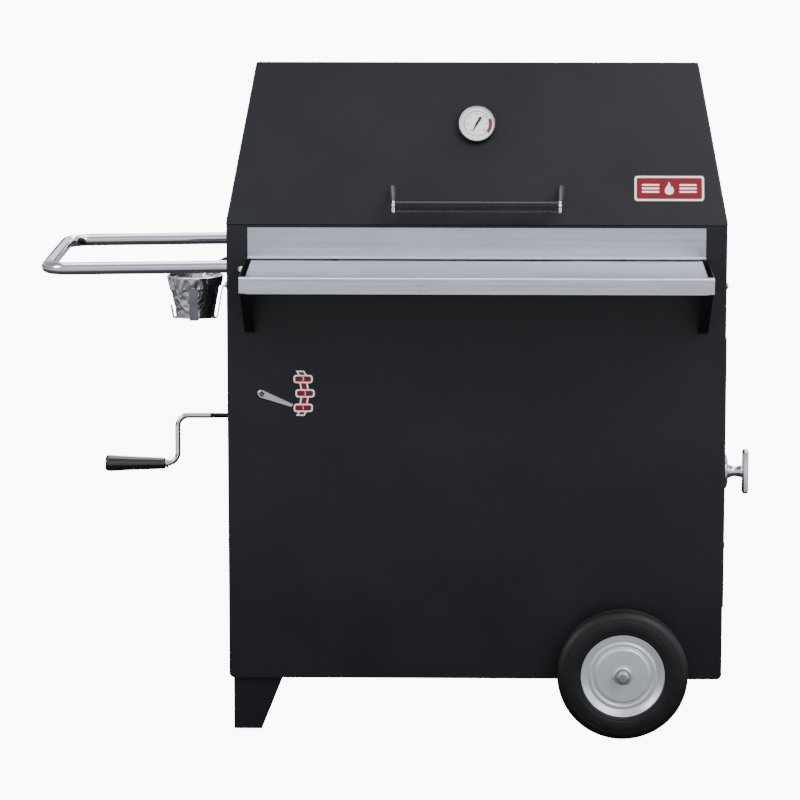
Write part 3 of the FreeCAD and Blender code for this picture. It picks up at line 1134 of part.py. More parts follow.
def cup_holder():
    """Cradle of two crossed straps bent up along the cup; the right end reaches up and back to the wall."""
    mid = STRAP_T / 2
    base = CUP_BASE_Z - 0.3 - mid
    out = STRAP_T * 0.75 + 0.6

    def side(height):
        return cup_radius(CUP_BASE_Z + height) + out

    low, short, tall = side(0), side(STRAP_SHORT), side(STRAP_TALL)
    wall_strap = [(CUP_X - short, CUP_BASE_Z + STRAP_SHORT), (CUP_X - low, base), (CUP_X + low, base),
                  (CUP_X + tall, CUP_BASE_Z + STRAP_TALL), (-HALF_W - mid, CUP_BASE_Z + STRAP_TALL),
                  (-HALF_W - mid, CUP_BASE_Z + STRAP_TALL - 24)]
    cross_strap = [(TROUGH_S - tall, CUP_BASE_Z + STRAP_TALL), (TROUGH_S - low, base), (TROUGH_S + low, base),
                   (TROUGH_S + tall, CUP_BASE_Z + STRAP_TALL)]
    straps = [folded(wall_strap, STRAP_T, 1.0, "xz", TROUGH_S - STRAP_W / 2, STRAP_W),
              folded(cross_strap, STRAP_T, 1.0, "sz", CUP_X - STRAP_W / 2, STRAP_W)]
    return [straps[0].fuse(straps[1])]


def build():
    os.makedirs("parts", exist_ok=True)
    wrap, left_side, right_side = hood_pieces()
    nodes = {
        "front_panel": [front_panel()], "rear_panel": [rear_panel()], "left_panel": [left_panel()],
        "right_panel": [right_panel()], "floor_pan": [floor_pan()], "splash_panel": [splash_panel()],
        "front_shelf": [front_shelf()], "bracket_left": [bracket(-1)], "bracket_right": [bracket(1)],
        "front_leg": [leg(True)], "rear_leg": [leg(False)], "axle": [axle()], "axle_plates": axle_plates(),
        "axle_fittings": axle_fittings(), "front_tyre": [tyre(True)], "front_rim": [rim(True)],
        "rear_tyre": [tyre(False)], "rear_rim": [rim(False)], "drawbar": [drawbar()],
        "panel_bolts": drawbar_bolts() + wall_screws(),
        "hood_wrap": [wrap], "hood_left_side": [left_side], "hood_right_side": [right_side],
        "handle_bar": handle_bar(), "handle_posts": handle_posts(), "gauge_case": gauge_case(),
        "gauge_dial": gauge_dial(), "gauge_glass": gauge_glass(), "gauge_stem": gauge_stem(),
        "gauge_needle": gauge_needle(), "badge": badge(), "hood_hinge_leaf": hood_hinge(True),
        "cabinet_hinge_leaf": hood_hinge(False), "door_panel": [door_panel()], "door_liner": door_liner(),
        "vent_slide": vent_slide(), "door_hinge_leaves": door_hinges(True),
        "jamb_hinge_leaves": door_hinges(False), "latch_rose": latch_rose(), "latch_handle": latch_handle(),
        "latch_cam": latch_cam(), "lift_frame": lift_frame(), "pointer": pointer(),
        "lift_bushes": lift_bushes(),
        "idler_pins": idler_pins(), "idler_arms": idler_arms(), "firebox": firebox(),
        "fire_grate": fire_grate(), "crank_rod": crank_rod(), "crank_grip": crank_grip(),
        "screw_yoke": screw_yoke(), "screw_nut": screw_nut(), "position_plate": position_plate(),
        "grate_rails": grate_rails(), "grate_left": cooking_grate(-1), "grate_right": cooking_grate(1),
        "grease_trough": grease_trough(), "drain_spout": drain_spout(), "drip_cup": drip_cup(),
        "cup_holder": cup_holder(),
    }
    for node, shapes in nodes.items():
        save(node, shapes)
    print(len(nodes), "nodes")


build()
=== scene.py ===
"""Looks of the crank-lift charcoal oven cart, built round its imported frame. Metres, +Z up."""
import json
import math

import bmesh
import bpy
import numpy as np
from mathutils import Matrix, Vector


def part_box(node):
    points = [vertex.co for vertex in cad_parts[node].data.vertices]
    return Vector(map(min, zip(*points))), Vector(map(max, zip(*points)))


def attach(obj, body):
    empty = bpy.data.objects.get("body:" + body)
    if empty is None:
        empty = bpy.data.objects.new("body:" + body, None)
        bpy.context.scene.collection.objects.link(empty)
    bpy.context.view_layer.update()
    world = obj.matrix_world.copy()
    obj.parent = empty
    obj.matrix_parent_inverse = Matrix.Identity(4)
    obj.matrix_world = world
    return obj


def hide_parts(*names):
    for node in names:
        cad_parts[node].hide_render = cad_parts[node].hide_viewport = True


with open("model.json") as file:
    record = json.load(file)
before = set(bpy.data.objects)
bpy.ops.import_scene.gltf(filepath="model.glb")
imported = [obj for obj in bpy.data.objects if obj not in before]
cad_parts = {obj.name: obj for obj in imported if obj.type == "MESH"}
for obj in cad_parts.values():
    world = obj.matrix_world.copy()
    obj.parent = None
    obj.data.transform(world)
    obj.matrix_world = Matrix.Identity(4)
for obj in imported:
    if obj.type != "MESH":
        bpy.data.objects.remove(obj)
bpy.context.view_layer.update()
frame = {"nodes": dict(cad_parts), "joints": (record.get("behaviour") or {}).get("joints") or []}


# ---- Studio
# A seamless pale floor and backdrop, with soft lights at the right, at the left, behind and above.
# The camera stands six and a half metres in front of the cabinet, at a standing eye's height.

def linear(code):
    """Linear colour of an sRGB hex code: the standard curve, each channel alone."""
    channels = [int(code[i:i + 2], 16) / 255 for i in (1, 3, 5)]
    return tuple(c / 12.92 if c <= 0.04045 else ((c + 0.055) / 1.055) ** 2.4 for c in channels) + (1.0,)


def add(tree, kind, inputs=None, stops=(), **settings):
    """Adds one shader node with its settings, its inputs set or linked, and a colour ramp's stops.

    Each stop is a position and a hex colour or a grey level."""
    made = tree.nodes.new("ShaderNode" + kind)
    for key, value in settings.items():
        setattr(made, key, value)
    for key, value in (inputs or {}).items():
        if isinstance(value, bpy.types.NodeSocket):
            tree.links.new(value, made.inputs[key])
        else:
            made.inputs[key].default_value = value
    if stops:
        band = made.color_ramp.elements
        while len(band) < len(stops):
            band.new(0.5)
        for element, (position, colour) in zip(band, stops):
            element.position = position
            element.color = linear(colour) if isinstance(colour, str) else (colour, colour, colour, 1.0)
    return made


def material(name, sockets=None):
    """A new material with only its output and a Principled shader, some of its sockets set."""
    made = bpy.data.materials.new(name)
    made.use_nodes = True
    tree = made.node_tree
    tree.nodes.clear()
    shader = add(tree, "BsdfPrincipled", sockets)
    tree.links.new(shader.outputs[0], add(tree, "OutputMaterial").inputs[0])
    return made, tree, shader


CABINET_LOW, CABINET_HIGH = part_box("front_panel")
CABINET_MID_X = (CABINET_LOW.x + CABINET_HIGH.x) / 2
EYE_AWAY, EYE_HEIGHT = 6.5, 1.694
LOOK = Vector((-0.0202, 1.0, -0.1701))
camera = bpy.data.objects.new("camera", bpy.data.cameras.new("camera"))
camera.data.lens = 171.8
camera.data.clip_end = 60
camera.location = (CABINET_MID_X, CABINET_LOW.y - EYE_AWAY, EYE_HEIGHT)
camera.rotation_euler = LOOK.to_track_quat("-Z", "Y").to_euler()
bpy.context.collection.objects.link(camera)
bpy.context.scene.camera = camera


def soft_light(name, place, aim, size, power):
    """A rectangular area light at a place, facing a point."""
    lamp = bpy.data.lights.new(name, "AREA")
    lamp.shape = "RECTANGLE"
    lamp.size, lamp.size_y = size
    lamp.energy = power
    held = bpy.data.objects.new(name, lamp)
    held.location = place
    held.rotation_euler = (Vector(aim) - Vector(place)).to_track_quat("-Z", "Y").to_euler()
    bpy.context.collection.objects.link(held)


soft_light("right_softbox", (2.6, -3.0, 3.6), (0.3, 0, 0.9), (2.4, 1.8), 120)
soft_light("left_softbox", (-3.4, -1.8, 2.6), (0, 0, 0.7), (1.6, 2.4), 80)
soft_light("back_softbox", (0.6, 3.8, 3.4), (0, 0, 0.6), (3.2, 1.8), 130)
soft_light("top_softbox", (0, 0.5, 4.2), (0, 0, 0), (3.6, 3.0), 120)

# The backdrop and the floor are near white to the camera alone. What the cart mirrors is a cool grey room,
# brighter to the right and dimmer behind, with a dark skirting, and a painted shadow darkening the floor
# under and behind the cart.
BACKDROP = 10.0
world = bpy.data.worlds.new("studio")
world.use_nodes = True
tree = world.node_tree
tree.nodes.clear()
facing = add(tree, "SeparateXYZ", {0: add(tree, "TexCoord").outputs["Generated"]}).outputs
height = add(tree, "MapRange", {"Value": facing["Z"], "From Min": -0.2, "From Max": 1.0}).outputs[0]
room = add(tree, "ValToRGB", {"Fac": height},
           [(0.0, "#8d9096"), (0.135, "#8d9096"), (0.15, 0.04), (0.24, 0.04), (0.27, "#f0f4fd"),
            (0.4, "#b4b8c0"), (1.0, "#7d8086")]).outputs[0]
side = add(tree, "MapRange", {"Value": facing["X"], "From Min": -1.0, "From Max": 1.0,
                              "To Min": 1.0, "To Max": 2.9}).outputs[0]
deep = add(tree, "MapRange", {"Value": facing["Y"], "From Min": -0.3, "From Max": 0.4,
                              "To Min": 1.35, "To Max": 0.95}).outputs[0]
level = add(tree, "Math", {0: side, 1: deep}, operation="MULTIPLY").outputs[0]
wall = add(tree, "VectorMath", {0: room, "Scale": level}, operation="SCALE").outputs[0]
seen = add(tree, "LightPath").outputs["Is Camera Ray"]
glow = add(tree, "Mix", {"Factor": seen, "A": wall, "B": (BACKDROP, BACKDROP, BACKDROP, 1)},
           data_type="RGBA")
backdrop = add(tree, "Background", {"Color": glow.outputs["Result"]})
tree.links.new(backdrop.outputs[0], add(tree, "OutputWorld").inputs[0])
bpy.context.scene.world = world

floor_mesh = bpy.data.meshes.new("studio_floor")
REACH = 30.0
floor_mesh.from_pydata([(-REACH, -REACH, 0), (REACH, -REACH, 0), (REACH, REACH, 0), (-REACH, REACH, 0)],
                       [], [(0, 1, 2, 3)])
studio_floor = bpy.data.objects.new("studio_floor", floor_mesh)
bpy.context.collection.objects.link(studio_floor)
pale, tree, shader = material("pale_studio_floor", {"Roughness": 0.85, "Specular IOR Level": 0.1,
                                                    "Emission Color": (1.0, 1.0, 1.0, 1.0)})
# Painted shadow: the floor's colour is dark near a point behind the cart and fades to pale further out, seen
# only in reflections and bounced light.
SHADOW_MIDDLE, SHADOW_EDGE, SHADOW_FADED = (0, 1.6, 0), 2.4, 4.4
here = add(tree, "TexCoord").outputs["Object"]
away = add(tree, "VectorMath", {0: here, 1: SHADOW_MIDDLE}, operation="DISTANCE").outputs["Value"]
shadow_fade = add(tree, "MapRange", {"Value": away, "From Min": SHADOW_EDGE, "From Max": SHADOW_FADED}).outputs[0]
painted_shadow_colour = add(tree, "ValToRGB", {"Fac": shadow_fade}, [(0.0, "#38383a"), (1.0, "#dcdcde")])
tree.links.new(painted_shadow_colour.outputs[0], shader.inputs["Base Color"])
seen = add(tree, "LightPath").outputs["Is Camera Ray"]
lit = add(tree, "Math", {0: seen, 1: BACKDROP}, operation="MULTIPLY")
tree.links.new(lit.outputs[0], shader.inputs["Emission Strength"])
floor_mesh.materials.append(pale)


# ---- Cabinet, hood, door skin, legs and brackets
# Folded and welded mild steel sheet, sprayed with satin black powder coat and baked.
# The powder flows into a faint orange peel, with a fine grain on top.

MM = 0.001
NODES = frame["nodes"]


def pattern(tree, feature_mm, detail=2.0, rough=0.5, stretch=(1.0, 1.0, 1.0)):
    """Noise in the piece's own coordinates, with blobs of about the given size in millimetres.

    A stretch below one draws the blobs out along that axis."""
    coords = add(tree, "TexCoord").outputs["Object"]
    place = add(tree, "Mapping", {"Vector": coords, "Scale": stretch}).outputs[0]
    made = add(tree, "TexNoise", {"Vector": place, "Scale": 1.0 / (feature_mm * MM), "Detail": detail,
                                  "Roughness": rough})
    return made.outputs["Fac"]


def shade(shader, socket, value, stops):
    """Drives a shader's socket by a value, through the stops of a ramp."""
    tree = shader.id_data
    tree.links.new(add(tree, "ValToRGB", {"Fac": value}, stops).outputs[0], shader.inputs[socket])


def emboss(shader, *layers):
    """Bumps laid on one another, the lowest first: each is (height, depth in millimetres, strength)."""
    tree = shader.id_data
    below = {}
    for height, depth_mm, strength in layers:
        made = add(tree, "Bump", {"Height": height, "Distance": depth_mm * MM, "Strength": strength, **below})
        below = {"Normal": made.outputs[0]}
    tree.links.new(below["Normal"], shader.inputs["Normal"])


def powder_coat():
    """Satin black polyester powder coat on steel: an even black with faint clouds and orange peel."""
    made, tree, shader = material("satin_black_powder_coat", {"Specular IOR Level": 0.3})
    cloud = pattern(tree, 160, 3.0)
    shade(shader, "Base Color", cloud, [(0.3, "#101115"), (0.7, "#17181c")])
    shade(shader, "Roughness", cloud, [(0.25, 0.38), (0.75, 0.47)])
    emboss(shader, (pattern(tree, 3.2, 1.0), 0.05, 0.35), (pattern(tree, 1.1), 0.03, 0.5))
    return made


def dress(finish, *names):
    """Gives one finish to CAD nodes through their material slots."""
    for name in names:
        for place in NODES[name].material_slots:
            place.material = finish


POWDER = powder_coat()
dress(POWDER, "front_panel", "rear_panel", "left_panel", "right_panel", "bracket_left", "bracket_right",
      "front_leg", "rear_leg", "hood_wrap", "hood_left_side", "hood_right_side", "door_panel",
      "hood_hinge_leaf", "cabinet_hinge_leaf", "door_hinge_leaves", "jamb_hinge_leaves")


# ---- Splash panel, front shelf and other stainless sheet
# Grade 304 sheet, folded, then brushed along its length with a coarse belt. The splash panel lies on the
# cabinet's front, and the shelf stands out from it on two brackets.

def brushed_stainless(name, along, tint="#d2d5dd"):
    """Belt-brushed stainless: fine lines along one axis, uneven in tone and shine."""
    made, tree, shader = material(name, {"Metallic": 1.0, "Anisotropic": 0.5})
    stretch = [1.0, 1.0, 1.0]
    stretch["xyz".index(along)] = 0.012
    lines = pattern(tree, 0.55, 3.0, 0.7, stretch)      # belt scratches are finer; drawn this coarse to show
    bands = pattern(tree, 6.0, stretch=stretch)
    mixed = add(tree, "Math", {0: lines, 1: bands}, operation="ADD").outputs[0]
    level = add(tree, "Math", {0: mixed, 1: 0.5}, operation="MULTIPLY").outputs[0]
    shade(shader, "Base Color", level, [(0.3, "#bfc2cb"), (0.5, tint), (0.72, "#eceef5")])
    shade(shader, "Roughness", pattern(tree, 90), [(0.3, 0.26), (0.7, 0.36)])
    emboss(shader, (lines, 0.03, 0.5))
    return made


STAINLESS_X = brushed_stainless("stainless_brushed_lengthwise", "x")
STAINLESS_Y = brushed_stainless("stainless_brushed_crosswise", "y")
dress(STAINLESS_X, "splash_panel", "front_shelf", "grease_trough")
dress(STAINLESS_Y, "grate_left", "grate_right", "vent_slide")


# ---- Drawbar
# One length of 7/8 inch steel tube, bent to a U and chromium plated.
# Both ends run into the cabinet through its left wall and are bolted there.

def shell(name, grid, ring, body, finish, replaced=(), angle=30):
    """A closed mesh from a grid of points, joined on itself around each row and, for a ring, along too.

    The ends that stay open are filled with one face each, doubles are merged and faces turned outwards."""
    rows, columns = grid.shape[:2]
    index = np.arange(rows * columns).reshape(rows, columns)
    if ring:
        index = np.vstack([index, index[:1]])
    index = np.hstack([index, index[:, :1]])
    quads = np.stack([index[:-1, :-1], index[:-1, 1:], index[1:, 1:], index[1:, :-1]], axis=-1)
    faces = quads.reshape(-1, 4).tolist()
    if not ring:
        faces += [index[0, :columns].tolist()[::-1], index[-1, :columns].tolist()]
    made = bpy.data.meshes.new(name)
    made.from_pydata(grid.reshape(-1, 3).tolist(), [], faces)
    work = bmesh.new()
    work.from_mesh(made)
    bmesh.ops.remove_doubles(work, verts=work.verts, dist=1e-6)
    bmesh.ops.dissolve_degenerate(work, edges=work.edges, dist=1e-7)
    bmesh.ops.recalc_face_normals(work, faces=work.faces)
    work.to_mesh(made)
    work.free()
    finish_piece(name, made, body, finish, replaced, angle)


def finish_piece(name, mesh, body, finish, replaced=(), angle=30):
    """Links a mesh as a smooth piece with sharp edges over an angle, ties it to its body and gives it the
    finish.
    """
    mesh.polygons.foreach_set("use_smooth", [True] * len(mesh.polygons))
    mesh.set_sharp_from_angle(angle=math.radians(angle))
    mesh.materials.append(finish)
    piece = bpy.data.objects.new(name, mesh)
    bpy.context.collection.objects.link(piece)
    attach(piece, body)
    if replaced:
        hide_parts(*replaced)


def sweep(line, radii, steps=32):
    """A round section carried along a line: each ring stands square to the line, and its frame never twists.

    radii is one number, or one row for each point of the line."""
    line = np.asarray(line, float)
    tangent = np.gradient(line, axis=0)
    tangent /= np.linalg.norm(tangent, axis=1)[:, None]
    side = np.zeros_like(line)
    first = np.cross(tangent[0], [0.13, 0.27, 0.95])
    side[0] = first / np.linalg.norm(first)
    for i in range(1, len(line)):
        kept = side[i - 1] - tangent[i] * np.dot(side[i - 1], tangent[i])
        side[i] = kept / np.linalg.norm(kept)
    other = np.cross(tangent, side)
    angle = np.linspace(0, 2 * np.pi, steps, endpoint=False)
    radii = np.broadcast_to(np.asarray(radii, float), (len(line), steps))
    rings = np.cos(angle)[None, :, None] * side[:, None] + np.sin(angle)[None, :, None] * other[:, None]
    return line[:, None] + rings * radii[..., None]


def arc_route(points, bend, spacing):
    """Points along straight runs joined by true tangent arcs, about one spacing apart."""
    points = [np.asarray(p, float) for p in points]
    out = [points[0]]
    for before, corner, after in zip(points, points[1:], points[2:]):
        d0, d1 = corner - before, after - corner
        d0, d1 = d0 / np.linalg.norm(d0), d1 / np.linalg.norm(d1)
        half = math.acos(np.clip(np.dot(d0, d1), -1, 1)) / 2
        start = corner - d0 * bend * math.tan(half)
        inward = (d1 - d0) / np.linalg.norm(d1 - d0)
        centre = corner + inward * bend / math.cos(half)
        run = np.linalg.norm(start - out[-1])
        count = max(int(run / spacing), 1)
        out += [out[-1] + (start - out[-1]) * k / count for k in range(1, count + 1)]
        swing = np.linspace(0, 2 * half, max(int(2 * half * bend / spacing * 3), 8) + 1)[1:]
        radius = start - centre
        out += [centre + radius * math.cos(a) + d0 * bend * math.sin(a) for a in swing]
    run = np.linalg.norm(points[-1] - out[-1])
    count = max(int(run / spacing), 1)
    out += [out[-1] + (points[-1] - out[-1]) * k / count for k in range(1, count + 1)]
    return np.array(out)


def chromium_plate():
    """Chromium plate over polished steel: a clear mirror with faint haze and rub marks."""
    made, tree, shader = material("bright_chromium_plate", {"Base Color": linear("#d4d6da"), "Metallic": 1.0})
    shade(shader, "Roughness", pattern(tree, 22, 4.0, 0.6), [(0.35, 0.06), (0.7, 0.15)])
    emboss(shader, (pattern(tree, 6), 0.02, 0.3))
    return made


CHROME = chromium_plate()
tube_low, tube_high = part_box("drawbar")
DRAWBAR_R, DRAWBAR_WALL, DRAWBAR_BEND, DRAWBAR_STEP = 11 * MM, 2 * MM, 42 * MM, 9 * MM
left = tube_low.x + DRAWBAR_R
root_z, far_z = tube_high.z - DRAWBAR_R, tube_low.z + DRAWBAR_R
front_y, rear_y = tube_low.y + DRAWBAR_R, tube_high.y - DRAWBAR_R
route = arc_route([(tube_high.x, front_y, root_z), (left, front_y, far_z), (left, rear_y, far_z),
                   (tube_high.x, rear_y, root_z)], DRAWBAR_BEND, DRAWBAR_STEP)
inner = sweep(route, DRAWBAR_R - DRAWBAR_WALL, 40)
outer = sweep(route, DRAWBAR_R, 40)
shell("drawbar_tube", np.vstack([outer, inner[::-1]]), True, "cabinet", CHROME, ["drawbar"])
dress(CHROME, "panel_bolts")


# ---- Drip cup
# A throwaway kitchen-foil cup: thin aluminium pressed by hand, its spare foil folded out over the rim.
# The foil breaks into small flat facets with sharp creases between them.

def aluminium_foil():
    """Household foil: bright, with a fine net of creases between the modelled facets."""
    made, tree, shader = material("crumpled_aluminium_foil", {"Metallic": 1.0})
    coords = add(tree, "TexCoord").outputs["Object"]
    cells = add(tree, "TexVoronoi", {"Vector": coords, "Scale": 1 / (3.4 * MM)}, feature="DISTANCE_TO_EDGE")
    fine = pattern(tree, 1.6, 3.0)
    shade(shader, "Base Color", pattern(tree, 14), [(0.35, "#b4b5ba"), (0.65, "#d6d7db")])
    shade(shader, "Roughness", fine, [(0.3, 0.20), (0.7, 0.36)])
    emboss(shader, (cells.outputs["Distance"], 0.25, 0.5), (fine, 0.06, 0.4))
    return made


def crumple(points, size_mm, depth_mm, seeds):
    """Sharp-creased relief: at each point, the lowest of many pyramids with random feet and heights."""
    random = np.random.default_rng(seeds)
    flat = points.reshape(-1, 3)
    low_corner, high_corner = flat.min(axis=0), flat.max(axis=0)
    count = int(np.prod(np.maximum(high_corner - low_corner, size_mm * MM) / (size_mm * MM)) * 0.9)
    relief = np.full(len(flat), 1e9)
    for foot in low_corner + (high_corner - low_corner) * random.random((count, 3)):
        axes = np.linalg.qr(random.standard_normal((3, 3)))[0]
        steep = np.abs((flat - foot) @ axes).sum(axis=1)
        relief = np.minimum(relief, steep + random.random() * size_mm * MM * 0.5)
    relief = relief.reshape(points.shape[:2])
    return (relief - relief.mean()) / relief.std() * depth_mm * MM


FOIL = aluminium_foil()
cup_low, cup_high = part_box("drip_cup")
CUP_MID = np.array([(cup_low.x + cup_high.x) / 2, (cup_low.y + cup_high.y) / 2, cup_low.z])
CUP_R = (cup_high.x - cup_low.x) / 2 / MM
CUP_TALL = (cup_high.z - cup_low.z) / MM
CUP_FOOT_R = CUP_R - 14.0
FLAP = 24.0             # how far the folded foil hangs down outside
CREASE_ROOM = 3.4       # the wall stands in from the cup's full size, to leave room for the flap and creases
FOIL_T = 1.1            # drawn thicker than kitchen foil, so that the wall has two sides
cup_angle = np.linspace(0, 2 * np.pi, 420, endpoint=False)


def cup_wall(height, inset=0.0):
    """Radius of the flared wall at a height above its foot."""
    return CUP_FOOT_R + (CUP_R - CUP_FOOT_R) * height / CUP_TALL - CREASE_ROOM - inset


# Rows go up the outside, over the flap's hem and down the inside; the hem wanders up and down round the cup.
hang = FLAP - 5.5 * np.cos(cup_angle - 0.3) + 1.2 * np.sin(5 * cup_angle + 1.0) + 0.8 * np.sin(11 * cup_angle)
foot_rows = [(0.5, 0.3), (CUP_FOOT_R * 0.5, 0.3), (CUP_FOOT_R - 3.0, 0.3), (CUP_FOOT_R - 1.4, 1.2)]
rows = [np.stack([np.full_like(cup_angle, r), np.full_like(cup_angle, z)], axis=1) for r, z in foot_rows]
for part in np.linspace(0.04, 1.0, 26):
    z = part * (CUP_TALL - hang)
    rows.append(np.stack([cup_wall(z), z], axis=1))
for part, proud in ((0.0, 1.5), (0.02, 2.7), (0.15, 3.2), (0.3, 2.9), (0.5, 3.1), (0.7, 2.8), (0.86, 2.4),
                    (0.95, 1.7)):
    z = CUP_TALL - hang * (1 - part) - 0.6
    rows.append(np.stack([cup_wall(z) + proud, z], axis=1))
for part in np.linspace(0.99, 0.03, 30):
    z = np.full_like(cup_angle, part * (CUP_TALL - 0.8))
    rows.append(np.stack([cup_wall(z, FOIL_T), z + 0.5], axis=1))
for r in (CUP_FOOT_R - 4.0, CUP_FOOT_R * 0.5, 0.5):
    rows.append(np.stack([np.full_like(cup_angle, r), np.ones_like(cup_angle)], axis=1))
profile = np.array(rows)
spoke = np.stack([np.cos(cup_angle), np.sin(cup_angle), np.zeros_like(cup_angle)], axis=1)
foil_grid = CUP_MID + (profile[..., :1] * spoke + profile[..., 1:] * np.array([0, 0, 1.0])) * MM
relief = crumple(foil_grid, 11.0, 0.42, 7) + crumple(foil_grid, 5.5, 0.16, 8)
along_rows = np.linspace(0, 1, len(rows))
FLAP_SWELL = 1.7        # the flap is crumpled the most
swell = np.where((along_rows > 0.42) & (along_rows < 0.58), FLAP_SWELL, 1.0)[:, None]
near_middle = np.clip(profile[..., 0] / CUP_FOOT_R, 0, 1) ** 2
relief = np.minimum(relief * swell * near_middle, 1.0 * MM)
foil_grid += spoke * relief[..., None]
foil_grid[..., :2] = np.clip(foil_grid[..., :2], CUP_MID[:2] - CUP_R * MM, CUP_MID[:2] + CUP_R * MM)
foil_grid[..., 2] = np.clip(foil_grid[..., 2], cup_low.z, cup_high.z)
shell("foil_cup", foil_grid, False, "cabinet", FOIL, ["drip_cup"], angle=14)


# ---- Cup cradle
# Two crossed straps of mill-finish steel strip, bent up along the cup.
# Bare steel: an even grey with a dull shine, a little darker than the foil in it.

def rolled_steel(name, dark, pale, rough=(0.34, 0.5), metallic=1.0):
    """Bare, oiled or plated steel: faint clouds between a dark and a pale tone, with a fine grain."""
    made, tree, shader = material(name, {"Metallic": metallic})
    cloud = pattern(tree, 38, 4.0, 0.6)
    shade(shader, "Base Color", cloud, [(0.3, dark), (0.7, pale)])
    shade(shader, "Roughness", cloud, [(0.3, rough[0]), (0.7, rough[1])])
    emboss(shader, (pattern(tree, 1.2, 3.0), 0.04, 0.4))
    return made


CRADLE_STEEL = rolled_steel("mill_finish_steel_strip", "#85868c", "#a3a4aa")
dress(CRADLE_STEEL, "cup_holder")


# ---- Hood handle
# A turned steel bar, baked black, with a round chromed cap on each end. Two tapered chromed posts carry it
# off the hood's sloping front.

def black_enamel():
    """Gloss black baked enamel: nearly flat, with a soft sheen and hairline scuffs."""
    made, tree, shader = material("gloss_black_baked_enamel", {"Specular IOR Level": 0.32})
    scuff = pattern(tree, 0.9, 4.0, 0.7, (0.1, 1.0, 1.0))
    shade(shader, "Base Color", pattern(tree, 30), [(0.3, "#0b0b0c"), (0.7, "#111113")])
    shade(shader, "Roughness", scuff, [(0.4, 0.24), (0.75, 0.36)])
    emboss(shader, (pattern(tree, 4, 1.0), 0.03, 0.3))
    return made


def soften(points, radius, steps=5):
    """A polyline with each inner corner cut back by at most the radius and rounded by a parabola."""
    points = [np.asarray(p, float) for p in points]
    out = [points[0]]
    for before, corner, after in zip(points, points[1:], points[2:]):
        d0, d1 = before - corner, after - corner
        l0, l1 = np.linalg.norm(d0), np.linalg.norm(d1)
        cut = min(radius, 0.48 * l0, 0.48 * l1)
        a, b = corner + d0 / l0 * cut, corner + d1 / l1 * cut
        t = np.linspace(0, 1, steps + 1)[:, None]
        out += list((1 - t) ** 2 * a + 2 * t * (1 - t) * corner + t ** 2 * b)
    out.append(points[-1])
    return np.array(out)


def lathe(name, outline, base, direction, steps, ring, body, finish, replaced=()):
    """A turned piece: each (radius, height) row in millimetres becomes a circle round the axis.

    A ring's outline closes on itself. Any other outline starts and ends close to the axis."""
    outline = np.asarray(outline, float) * MM
    direction = np.asarray(direction, float)
    start = np.array([1.0, 0, 0]) if abs(direction[0]) < 0.9 else np.array([0, 1.0, 0])
    across = np.cross(start, direction)
    across /= np.linalg.norm(across)
    up = np.cross(direction, across)
    angle = np.linspace(0, 2 * np.pi, steps, endpoint=False)
    circle = np.cos(angle)[:, None] * across + np.sin(angle)[:, None] * up
    rise = outline[:, 1, None, None] * direction
    grid = np.asarray(base) + outline[:, 0, None, None] * circle + rise
    shell(name, grid, ring, body, finish, replaced)


ENAMEL = black_enamel()
bar_low, bar_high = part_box("handle_bar")
BAR_R = (bar_high.z - bar_low.z) / 2 / MM - 0.9
BAR_L = (bar_high.x - bar_low.x) / MM
BAR_LINE = np.array([bar_low.x, (bar_low.y + bar_high.y) / 2, (bar_low.z + bar_high.z) / 2])
bar_outline = soften([(0.4, 0), (BAR_R - 0.6, 0), (BAR_R, 0.8), (BAR_R, BAR_L - 0.8), (BAR_R - 0.6, BAR_L),
                      (0.4, BAR_L)], 0.6)
lathe("handle_rod", bar_outline, BAR_LINE, (1, 0, 0), 72, False, "hood", ENAMEL,
      ["handle_bar"])
CAP_R, CAP_T = BAR_R + 1.3, 5.6
POST_LINE_Z = 954.0
HOOD_SLOPE = (0, 0.308025, 0.951378)        # up along the hood's front, one unit long
HOOD_OUT = np.cross([1.0, 0, 0], HOOD_SLOPE)
HOOD_OUT /= np.linalg.norm(HOOD_OUT)
HOOD_UP = np.cross(HOOD_OUT, [1.0, 0, 0])
JOINTS = {joint["name"]: joint for joint in frame["joints"]}


def joint_place(name):
    """Where a joint sits, in metres."""
    return np.array(JOINTS[name]["pos_m"])


def hood_point(x, z):
    """A point on the hood's sloping front, x from the cabinet's middle, at a height, both in millimetres."""
    anchor = joint_place("gauge_turn")
    along = (z * MM - anchor[2]) / HOOD_UP[2]
    return anchor + HOOD_UP * along + np.array([x * MM, 0, 0])


cap = soften([(0.3, 0), (CAP_R - 1.2, 0), (CAP_R, 1.2), (CAP_R, CAP_T - 1.4), (CAP_R - 1.6, CAP_T),
              (CAP_R * 0.55, CAP_T - 0.5), (0.3, CAP_T - 0.4)], 0.9)
for end, side_name in ((-1, "left"), (1, "right")):
    cap_base = BAR_LINE + np.array([BAR_L * MM if end > 0 else 0, 0, 0])
    lathe("handle_cap_" + side_name, cap, cap_base, (end, 0, 0), 64, False, "hood", CHROME,
          ["handle_posts"])
    tip = cap_base + np.array([end * CAP_T / 2 * MM, 0, 0])
    root = hood_point((BAR_L / 2 + CAP_T) * end, POST_LINE_Z)
    post_line = (tip - root) / np.linalg.norm(tip - root)
    run = np.linalg.norm(tip - root) / MM
    post = soften([(0.3, 0.3), (5.9, 0.2), (6.3, 0.8), (5.4, run * 0.3), (4.2, run * 0.65),
                   (3.2, run - BAR_R * 0.6), (0.3, run - BAR_R * 0.6)], 0.8)
    lathe("handle_post_" + side_name, post, root, post_line, 48, False, "hood", CHROME,
          ["handle_posts"])


# ---- Thermometer
# A pressed steel case with a black rolled bezel, a white enamelled dial printed in grey and red, and flat
# glass over the needle. Its stem passes through the hood.

